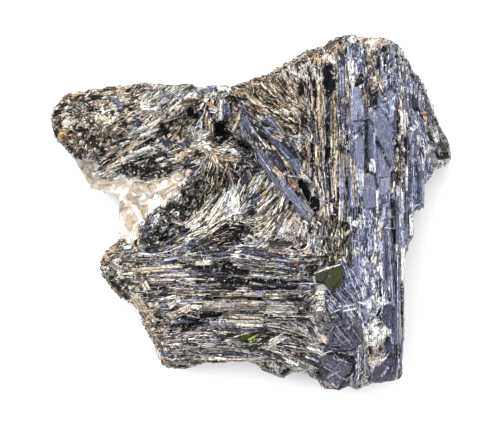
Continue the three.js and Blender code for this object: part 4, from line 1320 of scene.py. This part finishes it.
def gathered_mesh(name, parts):
    """One mesh of many small solids; each part is a bmesh, two tones, the angle of its grain and its dirt."""
    points, faces, colours, angles, dirty = [], [], [], [], []
    for bm, own, streak, angle, dirt in parts:
        bmesh.ops.recalc_face_normals(bm, faces=bm.faces)
        bm.verts.index_update()
        faces += [[len(points) + vert.index for vert in face.verts] for face in bm.faces]
        points += [tuple(vert.co) for vert in bm.verts]
        colours += [(own, streak)] * len(bm.verts)
        angles += [angle] * len(bm.verts)
        dirty += [dirt] * len(bm.verts)
        bm.free()
    mesh = bpy.data.meshes.new(name)
    mesh.from_pydata(points, [], faces)
    set_tones(mesh, np.array(colours).transpose(1, 0, 2), np.array(dirty))
    points, angles = np.array(points) / MM, np.array(angles)
    across, along = over_grain(points, angles)
    set_attribute(mesh, "lie", np.stack([across + angles * 40, along * STREAK_LENGTH, points[:, 2]], axis=1))
    return mesh


def plate_mesh(name):
    """The broad faces: each outline lies level or tilted on the surface, and goes down into the rock."""
    depth, bevel, steepest, dimming = 1.6 * MM, 0.1 * MM, 0.35, 0.6
    parts = []
    for outline, degrees, pair, lift, _left in all_plates():
        x, y = on_grid(*outline.T)
        from_middle = np.stack([x - x.mean(), y - y.mean(), np.ones(len(x))], axis=1)
        under = from_middle * (0.9, 0.9, 0) + (x.mean(), y.mean(), 0)
        heights = np.array([height_at(*spot)[0] or 0.0 for spot in under[:, :2]])
        slope_x, slope_y, level = np.linalg.lstsq(from_middle, heights, rcond=None)[0]
        slope = np.clip((slope_x, slope_y), -steepest, steepest)
        z = level + from_middle[:, :2] @ slope + lift * MM
        bm = bmesh.new()
        base = bm.faces.new([bm.verts.new(corner) for corner in zip(x, y, np.maximum(z - depth, 0))])
        raised = bmesh.ops.extrude_face_region(bm, geom=[base])["geom"]
        for vert in of_kind(BMVert, raised):
            vert.co.z = level + float(slope @ (vert.co.x - x.mean(), vert.co.y - y.mean())) + lift * MM
        bevel_edges(bm, of_kind(BMEdge, raised), bevel)
        own, streak = (linear(tone) * dimming for tone in pair.split("/"))
        dirt = 0.1 if pair.startswith(("olive", "black", "moss")) else 1.0
        parts.append((bm, own, streak, math.radians(degrees), dirt))
    return gathered_mesh(name, parts)


def quartz_mesh(name):
    """Chunks of quartz with broken, many-sided faces, half sunk in the rock."""
    corners, spread, thickness, bevel = 10, 1.5, 1.2 * MM, 0.08 * MM
    rng = np.random.default_rng(QUARTZ_SEED)
    up = Vector((0, 0, 1))
    parts = []
    for column, row, width, length, degrees, tone in QUARTZ:
        x, y = on_grid(column, row)
        level, normal = height_at(x, y)
        if level is None:
            continue
        size = np.array([length * spread * SQUARE, width * spread * SQUARE, thickness]) / 2
        turn = up.rotation_difference(normal.lerp(up, 0.5).normalized()).to_matrix()
        turn = np.array(turn @ Matrix.Rotation(math.radians(degrees), 3, "Z"))
        middle = (x, y, level + (0.2 if tone.startswith("grey") else -0.1) * MM)
        bm = bmesh.new()
        for corner in unit(rng.normal(0, 1, (corners, 3))) * rng.uniform(0.85, 1.05, (corners, 1)):
            bm.verts.new(turn @ (corner * size) + middle)
        hull = bmesh.ops.convex_hull(bm, input=bm.verts)
        bmesh.ops.delete(bm, geom=list({*hull["geom_interior"], *hull["geom_unused"]}), context="VERTS")
        bevel_edges(bm, list(bm.edges), bevel)
        colour = linear("milk") * 0.2 + linear(tone) * 0.8
        parts.append((bm, colour, colour, 0.0, 0.2))
    return gathered_mesh(name, parts)


def quartz_material():
    """Cloudy quartz, partly clear, with soft clouds, stains and amber cracks inside."""
    material, tree, shader = new_material("Quartz")
    place = add_node(tree, "TexCoord").outputs["Object"]
    cloud = add_node(tree, "TexNoise", {"Scale": 0.45 / MM, "Detail": 4, "Vector": place}).outputs
    stain = ranged(tree, cloud["Fac"], 0.42, 0.62, high=0.65)
    colour = mixed(tree, stain, attribute(tree, "tone"), (*linear("beige"), 1))
    bend = {0: cloud["Color"], 1: (1.6 * MM, 1.6 * MM, 1.6 * MM), 2: place}
    bent = add_node(tree, "VectorMath", bend, operation="MULTIPLY_ADD").outputs[0]
    crack = add_node(tree, "TexVoronoi", {"Scale": 0.5 / MM, "Vector": bent}, feature="DISTANCE_TO_EDGE")
    amber = ranged(tree, crack.outputs["Distance"], 0, 0.1, 0.9, 0)
    colour = mixed(tree, amber, colour, (*linear("amber"), 1))
    dent = add_node(tree, "Bump", {"Strength": 0.4, "Distance": 0.2 * MM, "Height": cloud["Fac"]})
    feed(shader, {"Roughness": 0.15, "IOR": 1.54, "Transmission Weight": 0.4})
    feed(shader, {"Base Color": colour, "Normal": dent.outputs["Normal"]})
    return material


def laid_mesh(name, rng):
    """Planks along the laid blades, each of a few thin leaves side by side on the surface's slope."""
    leaf_width, thickest, steepest, half_run = 0.4 * MM, 0.9 * MM, 0.7, 0.42
    middle, way, length, width, lift, tones = all_laid()
    centres, axes, sizes, colours = [], [], [], []
    columns, rows = to_grid(middle[:, 0], middle[:, 1])
    hidden = np.any([within(columns, rows, plate[0]) for plate in all_plates()], axis=0) & (lift < 0.5 * MM)
    for index in np.flatnonzero((lift >= 0) & ~hidden):
        leaves = max(1, round(width[index] / leaf_width))
        across = np.array([-way[index, 1], way[index, 0]])
        for leaf in range(leaves):
            offset = ((leaf + 0.5) / leaves - 0.5) * width[index]
            shift = rng.uniform(-0.04, 0.04) * length[index] if leaves > 1 else 0.0
            middle_here = middle[index] + across * offset + way[index] * shift
            run = np.linspace(-half_run, half_run, 7) * length[index]
            heights = [(t, height_at(*(middle_here + way[index] * t))[0]) for t in run]
            heights = np.array([pair for pair in heights if pair[1] is not None])
            if len(heights) < 2:
                continue
            slope, level = np.polyfit(heights[:, 0], heights[:, 1], 1)
            slope = float(np.clip(slope, -steepest, steepest))
            along = unit(np.array([way[index, 0], way[index, 1], slope]))
            up = unit(np.array([-slope * way[index, 0], -slope * way[index, 1], 1.0]))
            tilt = rng.normal(0, 0.06)
            side = unit(np.cross(along, up)) * math.cos(tilt) + up * math.sin(tilt)
            thick = min(thickest, 0.5 * width[index] / leaves + 0.25 * MM)
            at = level + lift[index] - thick / 2 + rng.uniform(-0.06, 0.06) * MM * (leaves > 1)
            centres.append([middle_here[0], middle_here[1], at])
            axes.append([side, along, np.cross(side, along)])
            sizes.append([width[index] / leaves * 1.12, length[index] * rng.uniform(0.94, 1.0), thick])
            pair = tones[:, index] * rng.uniform(0.6, 1.0)
            colours.append(pair[::-1] if leaves > 1 and rng.random() < 0.25 else pair)
    colours = np.clip(np.array(colours).transpose(1, 0, 2), 0, PALEST)
    return strewn_mesh(
        name, plank_template(), np.array(centres), np.array(axes), np.array(sizes), colours, 0.03, rng)


# ---- The broken surface ----
class Surface:
    """The rock's outer surface, once broken up, for the other pieces to lie on."""

    tree = None
    centres = None
    normals = None
    areas = None


def broken_mesh(voxel, roughness):
    """A finer copy of the solid whose surface is broken up along the grain."""
    source = bpy.data.objects[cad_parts[NODE].name].data.copy()
    bm = bmesh.new()
    bm.from_mesh(source)
    bmesh.ops.remove_doubles(bm, verts=bm.verts, dist=1e-6)
    bm.to_mesh(source)
    bm.free()
    work = bpy.data.objects.new("rock_body_source", source)
    bpy.context.scene.collection.objects.link(work)
    remesh = work.modifiers.new("Remesh", "REMESH")
    remesh.mode = "VOXEL"
    remesh.voxel_size = voxel
    mesh = bpy.data.meshes.new_from_object(work.evaluated_get(bpy.context.evaluated_depsgraph_get()))
    bpy.data.objects.remove(work)
    points, normals = values_of(mesh.vertices, "co", 3), values_of(mesh.vertices, "normal", 3)
    angle = grain_at(points[:, 0], points[:, 1])
    zone = zones_at(points[:, 0], points[:, 1])
    moved = np.zeros(len(points))
    for index in np.unique(zone):
        texture, chosen = all_zones()[index][0], zone == index
        across, along = texture.streak
        ridges = streaks(points[chosen], angle[chosen], across / MM, along / MM, seed=float(index))
        moved[chosen] = ridges * texture.relief * roughness
    lift = all_laid()[4]
    over = laid_over(points[:, 0], points[:, 1])
    slit = (over >= 0) & (normals[:, 2] > SEEN)
    slit[slit] = lift[over[slit]] < 0
    moved[slit] = np.minimum(moved[slit], 0) + lift[over[slit]]
    # The flat face that the rock rests on stays as it is.
    free = np.clip(points[:, 2] / (0.8 * MM), 0, 1) ** 2
    points += normals * (moved * free)[:, None]
    points[:, 2] = np.maximum(points[:, 2], 0)
    mesh.vertices.foreach_set("co", points.ravel())
    mesh.update()
    return mesh


def read_surface(mesh):
    """Keeps the surface's faces and a tree of them for the pieces that lie on it."""
    Surface.centres = values_of(mesh.polygons, "center", 3)
    Surface.normals = values_of(mesh.polygons, "normal", 3)
    Surface.areas = values_of(mesh.polygons, "area")
    bm = bmesh.new()
    bm.from_mesh(mesh)
    Surface.tree = BVHTree.FromBMesh(bm)
    bm.free()


def dress_surface(mesh, rng):
    """Gives the broken surface its tones and the lie of its grain."""
    dimming = 0.85
    points, normals = values_of(mesh.vertices, "co", 3), values_of(mesh.vertices, "normal", 3)
    wander = rng.normal(0, 0.25 * MM, (2, len(points)))
    zone = zones_at(points[:, 0] + wander[0], points[:, 1] + wander[1])
    colours = tones_at(points, zone, normals[:, 2], 0.2, rng) * dimming
    # Under a laid blade the surface takes the blade's tones; in a slit these are near-black, painted shade in
    # the sunk groove.
    over = laid_over(points[:, 0], points[:, 1])
    covered = (over >= 0) & (normals[:, 2] > SEEN)
    colours[:, covered] = all_laid()[5][:, over[covered]]
    set_tones(mesh, colours, dirt_at(zone))
    # The grain lies between two of the fixed ways, an even and an odd one, and turns from one to the other.
    turned = grain_at(points[:, 0], points[:, 1]) / TURN_STEP
    lower = np.floor(turned)
    even = np.where(lower % 2 == 0, lower, lower + 1)
    odd = np.where(lower % 2 == 0, lower + 1, lower)
    for name, way in (("lie", even * TURN_STEP), ("other_lie", odd * TURN_STEP)):
        across, along = over_grain(points, way)
        places = np.stack([across, along * STREAK_LENGTH, points[:, 2]], axis=1) / MM + (way * 40)[:, None]
        set_attribute(mesh, name, places)
    set_attribute(mesh, "turn", np.abs(turned - even))


# ---- Strewn blades and grains ----
def inside(area):
    """Which of the surface's faces lie in an area of the grid."""
    columns, rows = to_grid(Surface.centres[:, 0], Surface.centres[:, 1])
    return (columns >= area[0]) & (columns < area[1]) & (rows >= area[2]) & (rows < area[3])


def strand_paths(area, density, rng):
    """Where the strands of an area run, as five places each along the grain, with their heights and sizes."""
    zone = zones_at(Surface.centres[:, 0], Surface.centres[:, 1])
    per_area = of_textures("strands")[zone, 0] * density / MM**2
    weight = np.where(inside(area) & (Surface.normals[:, 2] > 0.25), Surface.areas * per_area, 0)
    count = int(weight.sum())
    faces = rng.choice(len(weight), count, p=weight / weight.sum())
    faces = faces[rng.random(count) < room_at(Surface.centres[faces])]
    count, zone = len(faces), zone[faces]
    table = of_textures("length", "width", "spread")[zone]
    length = rng.uniform(table[:, 0], table[:, 1]) * 1.25 * MM
    width = (table[:, 2] + (table[:, 3] - table[:, 2]) * rng.random(count) ** 1.4) * MM
    turn = np.radians(rng.normal(0, 0.5, count) * table[:, 4])
    middle = Surface.centres[faces, :2] + rng.uniform(-0.1, 0.1, (count, 2)) * MM
    start = grain_at(*middle.T) + turn
    path = np.zeros((5, count, 2))
    path[2] = middle
    for sign in (1, -1):
        place, angle = middle.copy(), start.copy()
        for step in (1, 2):
            place = place + sign * (length / 4)[:, None] * np.stack([np.cos(angle), np.sin(angle)], axis=1)
            fresh = grain_at(*place.T) + turn
            angle = angle + np.clip((fresh - angle + np.pi / 2) % np.pi - np.pi / 2, -0.5, 0.5)
            path[2 + sign * step] = place
    heights = np.array([[height_at(*spot)[0] or -1.0 for spot in ring] for ring in path])
    kept = (heights > 0).all(0) & (np.abs(np.diff(heights, axis=0)).max(0) < 0.35 * length)
    crossed = [*path, *((path[1:] + path[:-1]) / 2)]
    kept &= np.min([room_at(spot) for spot in crossed], axis=0) >= ROOM_ON_BLADE
    kept &= ~np.any([is_glassy(zones_at(*spot.T)) for spot in crossed], axis=0)
    return path[:, kept], heights[:, kept], length[kept], width[kept], zone[kept], faces[kept]


def strand_mesh(name, area, density, seed):
    """Thin fibres that bend with the grain, each a three-sided strand through five rings."""
    rng = np.random.default_rng(seed)
    path, heights, length, width, zone, faces = strand_paths(area, density, rng)
    count = len(faces)
    middle_height = (heights + heights[[1, 2, 3, 4, 3]] + heights[[1, 0, 1, 2, 3]]) / 3
    rise = rng.uniform(-0.05, 0.3, count) * MM
    spine = np.concatenate([path, (middle_height + rise)[:, :, None]], axis=2)
    along = unit(np.gradient(spine, axis=0))
    side = unit(np.cross(along, np.array([0, 0, 1.0])))
    up = np.cross(side, along)
    taper = np.array([0.35, 0.85, 1.0, 0.85, 0.35])[:, None, None] * width[None, :, None]
    roll = rng.normal(0, 0.5, (1, count, 1))
    corners = [
        spine + (side * math.cos(turn) + up * math.sin(turn)) * np.cos(roll) * taper * 0.55
        + (up * math.cos(turn) - side * math.sin(turn)) * np.sin(roll) * taper * 0.55
        for turn in (-math.radians(30), math.radians(90), math.radians(210))
    ]
    points = np.stack(corners, axis=2).transpose(1, 0, 2, 3).reshape(count, 15, 3)
    ends = [(0, 1, 2), (14, 13, 12)]
    sides = [
        (ring + corner, ring + 3 + corner, ring + 3 + (corner + 1) % 3, ring + (corner + 1) % 3)
        for ring in range(0, 12, 3) for corner in range(3)
    ]
    colours = tones_at(Surface.centres[faces], zone, Surface.normals[faces, 2], 1.6, rng)
    colours = np.clip(colours * rng.uniform(0.5, 1.4, (count, 1)), 0, PALEST)
    run = np.linspace(0, 1, 5)[None, :, None] * length[:, None, None] / MM * STREAK_LENGTH
    around = np.array([0.0, 0.5, 1.0])[None, None] * width[:, None, None] / MM
    run, around = np.broadcast_arrays(run, around)
    lie = np.stack([around, run, around * 0], axis=3).reshape(count, 15, 3)
    lie = lie + rng.uniform(0, 500, (count, 1, 3))
    return joined_mesh(name, points, ends + sides, colours, lie, dirt_at(zone))


def pieces_per_area(texture, density):
    """How many blades and grains lie on a square millimetre, from the share of it that they cover."""
    of_blade = np.mean(texture.length) * np.mean(texture.width) * (1 - texture.grains)
    of_grain = texture.grains * np.mean(texture.grain_size) ** 2
    return texture.cover * density / (of_blade + of_grain)


def strew(area, density, seed):
    """Sizes, axes and colours of the blades and grains on the surface inside an area."""
    shorter, thinned, underside = 0.35, 0.6, -0.5
    rng = np.random.default_rng(seed)
    zone = zones_at(Surface.centres[:, 0], Surface.centres[:, 1])
    per_area = np.array([pieces_per_area(texture, density) for texture, *_rest in all_zones()]) / MM**2
    weight = np.where(inside(area), Surface.areas * per_area[zone], 0)
    weight = weight * np.where(Surface.normals[:, 2] < underside, thinned, 1)
    count = int(weight.sum())
    faces = rng.choice(len(weight), count, p=weight / weight.sum())
    seen = Surface.normals[faces, 2] > SEEN
    faces = faces[(rng.random(count) < room_at(Surface.centres[faces])) | ~seen]
    zone, count = zone[faces], len(faces)
    centres = Surface.centres[faces] + rng.uniform(-0.12, 0.12, (count, 3)) * MM
    normals = Surface.normals[faces]
    table = of_textures("length", "width", "flatness", "spread", "roll", "grains", "grain_size")[zone]
    shortest, longest, narrowest, widest, flatness, spread, most_roll, grains, smallest, largest = table.T
    grainy = rng.random(count) < grains
    angle = grain_at(centres[:, 0], centres[:, 1]) + np.radians(rng.normal(0, 1, count) * spread)
    along = np.stack([np.cos(angle), np.sin(angle), np.zeros(count)], axis=1)
    along = unit(along - normals * (along * normals).sum(1, keepdims=True) + 1e-6)
    side = unit(np.cross(along, normals))
    roll = np.radians(rng.normal(0, 1, count) * most_roll)[:, None]
    side = side * np.cos(roll) + normals * np.sin(roll)
    axes = np.stack([side, along, np.cross(side, along)], axis=1)
    length = rng.uniform(shortest, longest)
    width = narrowest + (widest - narrowest) * rng.random(count) ** 1.6
    size = smallest + (largest - smallest) * rng.random(count) ** 1.6
    grain_sizes = np.stack([size, size * rng.uniform(0.9, 1.9, count), size * 0.8], 1)
    lift = rng.uniform(-0.3, 0.35, count) * np.where(grainy, grain_sizes[:, 2], width * flatness)
    colours = tones_at(centres, zone, normals[:, 2], 0.8, rng)
    colours = np.clip(colours * rng.uniform(0.65, 1.3, (count, 1)), 0, PALEST)
    centres = centres + normals * (lift * MM)[:, None]
    # A blade that would reach over a broad face, a slit or the quartz is made shorter.
    reached = centres + along * (length * MM)[:, None] * np.linspace(-0.5, 0.5, 9)[:, None, None]
    reaching = np.min([room_at(spot) for spot in reached], axis=0) < ROOM_ON_BLADE
    over_quartz = np.any([is_glassy(zones_at(spot[:, 0], spot[:, 1])) for spot in reached], axis=0)
    reaching |= ~is_glassy(zone) & over_quartz
    sizes = np.stack([width, length, width * flatness], 1)
    sizes[reaching & (normals[:, 2] > underside), 1] *= shorter
    sizes = np.where(grainy[:, None], grain_sizes, sizes)
    planked = of_textures("planked")[zone, 0] > 0
    return centres, axes, sizes * MM, colours, grainy, planked, dirt_at(zone), rng


def keep_within_rim(centres, axes, sizes):
    """Shortens what would reach out over the rock's outline."""
    cell, span, shorter, tries = 0.5 * MM, 200, 0.6, 4
    half = span // 2
    columns, rows, _levels = np.clip((Surface.centres / cell).astype(int) + half, 0, span - 1).T
    solid = np.zeros((span, span), bool)
    solid[columns, rows] = True
    for _ in range(tries):
        out = np.zeros(len(centres), bool)
        for end in (-0.5, 0.5):
            tip = np.round((centres + axes[:, 1] * sizes[:, 1:2] * end) / cell).astype(int) + half
            column, row, _level = np.clip(tip, 0, span - 1).T
            out |= ~solid[column, row]
        sizes[out, 1] *= shorter
    return sizes


def strewn_pieces(name, area, density, seed, material):
    """The planks, needles and grains of an area, as a piece each."""
    centres, axes, sizes, colours, grainy, planked, dirt, rng = strew(area, density, seed)
    sizes = keep_within_rim(centres, axes, sizes)
    kinds = (
        ("planks", planked & ~grainy, plank_template(), 0.03),
        ("needles", ~planked & ~grainy, blade_template(), 0.04),
        ("grains", grainy, grain_template(), 0.25),
    )
    for kind, chosen, shape, shift in kinds:
        if not chosen.any():
            continue
        title = f"{name}_{kind}"
        placed = centres[chosen], axes[chosen], sizes[chosen], colours[:, chosen]
        add_piece(title, strewn_mesh(title, shape, *placed, shift, rng, dirt[chosen]), material)


# ---- What a user would change ----
class RockSettings(bpy.types.PropertyGroup):
    """Sizes of the rock's surface."""

    voxel: bpy.props.FloatProperty(
        name="Voxel", description="Edge of the broken surface's cells", default=0.375 * MM, unit="LENGTH")
    roughness: bpy.props.FloatProperty(
        name="Roughness", description="How far the broken surface stands out and in", default=1.5 * MM,
        unit="LENGTH")
    density: bpy.props.FloatProperty(
        name="Density", description="How thickly blades and grains cover the surface", default=1.0, min=0.05,
        subtype="FACTOR")


class StageSettings(bpy.types.PropertyGroup):
    """The camera, the floor and the lights."""

    distance: bpy.props.FloatProperty(
        name="Camera distance", description="From the lens to the middle of the specimen", default=2.4,
        unit="LENGTH")
    floor: bpy.props.FloatVectorProperty(
        name="Floor", description="Colour of the floor", default=(0.95, 0.95, 0.95), subtype="COLOR")
    sky: bpy.props.FloatProperty(name="Sky", description="Strength of the light from all round", default=0.86)
    key: bpy.props.FloatProperty(
        name="Key", description="Power of the large lamp", default=14.5, unit="POWER")
    fill: bpy.props.FloatProperty(
        name="Fill", description="Power of the lamp across from it", default=4.0, unit="POWER")


MATERIALS = {}


class GEDRITE_OT_materials(bpy.types.Operator):
    """Makes the materials of the rock, its crystals and its quartz."""

    bl_idname = "gedrite.materials"
    bl_label = "Materials"

    def execute(self, context):
        group = streaked_group()
        MATERIALS["body"] = rock_material(
            "Broken rock", group, roughness=0.5, gloss=0.06, bump=0.6, turning=True)
        MATERIALS["crystal"] = rock_material("Crystals", group)
        MATERIALS["broad"] = rock_material(
            "Broad faces", group, share=0.42, contrast=0.5, flecks=0.35, bump=0.3)
        MATERIALS["quartz"] = quartz_material()
        return {"FINISHED"}


class GEDRITE_OT_body(bpy.types.Operator):
    """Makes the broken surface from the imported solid."""

    bl_idname = "gedrite.body"
    bl_label = "Broken surface"

    def execute(self, context):
        rock = context.scene.gedrite_rock
        mesh = broken_mesh(rock.voxel, rock.roughness)
        read_surface(mesh)
        dress_surface(mesh, np.random.default_rng(BODY_SEED))
        add_piece("rock_body", mesh, MATERIALS["body"])
        return {"FINISHED"}


class GEDRITE_OT_crystals(bpy.types.Operator):
    """Strews blades and grains over the surface, zone by zone."""

    bl_idname = "gedrite.crystals"
    bl_label = "Strewn crystals"

    def execute(self, context):
        density = context.scene.gedrite_rock.density
        for number, (name, area) in enumerate(AREAS.items()):
            strewn_pieces(name, area, density, FIRST_STREWN_SEED + number, MATERIALS["crystal"])
            mesh = strand_mesh(f"{name}_strands", area, density, FIRST_STRAND_SEED + number)
            add_piece(f"{name}_strands", mesh, MATERIALS["crystal"])
        return {"FINISHED"}


class GEDRITE_OT_laid(bpy.types.Operator):
    """Lays the large blades of the face one by one."""

    bl_idname = "gedrite.laid"
    bl_label = "Laid blades"

    def execute(self, context):
        blades = laid_mesh("laid_blades", np.random.default_rng(BLADE_SEED))
        add_piece("laid_blades", blades, MATERIALS["crystal"])
        add_piece("broad_faces", plate_mesh("broad_faces"), MATERIALS["broad"])
        add_piece("quartz", quartz_mesh("quartz"), MATERIALS["quartz"])
        return {"FINISHED"}


class GEDRITE_OT_stage(bpy.types.Operator):
    """Makes the pale floor, the soft lights and the camera that looks straight down."""

    bl_idname = "gedrite.stage"
    bl_label = "Stage"

    def execute(self, context):
        stage = context.scene.gedrite_stage
        scene = context.scene
        bpy.ops.mesh.primitive_plane_add(size=FLOOR_SIDE)
        floor = context.object
        floor.name = "floor"
        pale, _tree, shader = new_material("Pale floor")
        feed(shader, {"Base Color": (*stage.floor, 1), "Roughness": 0.9})
        floor.data.materials.append(pale)
        scene.world = bpy.data.worlds.new("Studio")
        scene.world.use_nodes = True
        feed(scene.world.node_tree.nodes["Background"], {"Color": (1, 1, 1, 1), "Strength": stage.sky})
        for name, power, size, place in (
            ("key", stage.key, KEY_SIZE, KEY_PLACE), ("fill", stage.fill, FILL_SIZE, FILL_PLACE),
        ):
            lamp = bpy.data.lights.new(name, "AREA")
            lamp.energy = power
            lamp.size = size
            light = bpy.data.objects.new(name, lamp)
            light.location = place
            light.rotation_euler = (-Vector(place)).to_track_quat("-Z", "Y").to_euler()
            scene.collection.objects.link(light)
        camera = bpy.data.cameras.new("camera")
        camera.sensor_width = SENSOR
        camera.lens = camera.sensor_width * stage.distance / (FRAME_COLUMNS * SQUARE)
        viewer = bpy.data.objects.new("camera", camera)
        x, y = on_grid(FRAME_COLUMNS / 2, FRAME_ROWS / 2)
        viewer.location = (float(x), float(y), stage.distance + MIDDLE_HEIGHT)
        scene.collection.objects.link(viewer)
        scene.camera = viewer
        scene.view_settings.view_transform = "Standard"
        return {"FINISHED"}


class GEDRITE_PT_panel(bpy.types.Panel):
    """Lists the specimen's steps and their settings."""

    bl_idname = "GEDRITE_PT_panel"
    bl_label = "Gedrite specimen"
    bl_space_type = "VIEW_3D"
    bl_region_type = "UI"
    bl_category = "Gedrite"

    def draw(self, context):
        for operator in OPERATORS:
            self.layout.operator(operator.bl_idname)
        for settings in (context.scene.gedrite_rock, context.scene.gedrite_stage):
            for prop in settings.bl_rna.properties:
                if prop.identifier not in ("rna_type", "name"):
                    self.layout.prop(settings, prop.identifier)


OPERATORS = (GEDRITE_OT_materials, GEDRITE_OT_body, GEDRITE_OT_crystals, GEDRITE_OT_laid, GEDRITE_OT_stage)
CLASSES = (RockSettings, StageSettings, *OPERATORS, GEDRITE_PT_panel)


def register():
    for cls in CLASSES:
        bpy.utils.register_class(cls)
    bpy.types.Scene.gedrite_rock = bpy.props.PointerProperty(type=RockSettings)
    bpy.types.Scene.gedrite_stage = bpy.props.PointerProperty(type=StageSettings)


def unregister():
    del bpy.types.Scene.gedrite_stage
    del bpy.types.Scene.gedrite_rock
    for cls in reversed(CLASSES):
        bpy.utils.unregister_class(cls)


def main():
    register()
    bpy.ops.gedrite.materials()
    bpy.ops.gedrite.body()
    bpy.ops.gedrite.crystals()
    bpy.ops.gedrite.laid()
    bpy.ops.gedrite.stage()


if __name__ == "__main__":
    main()
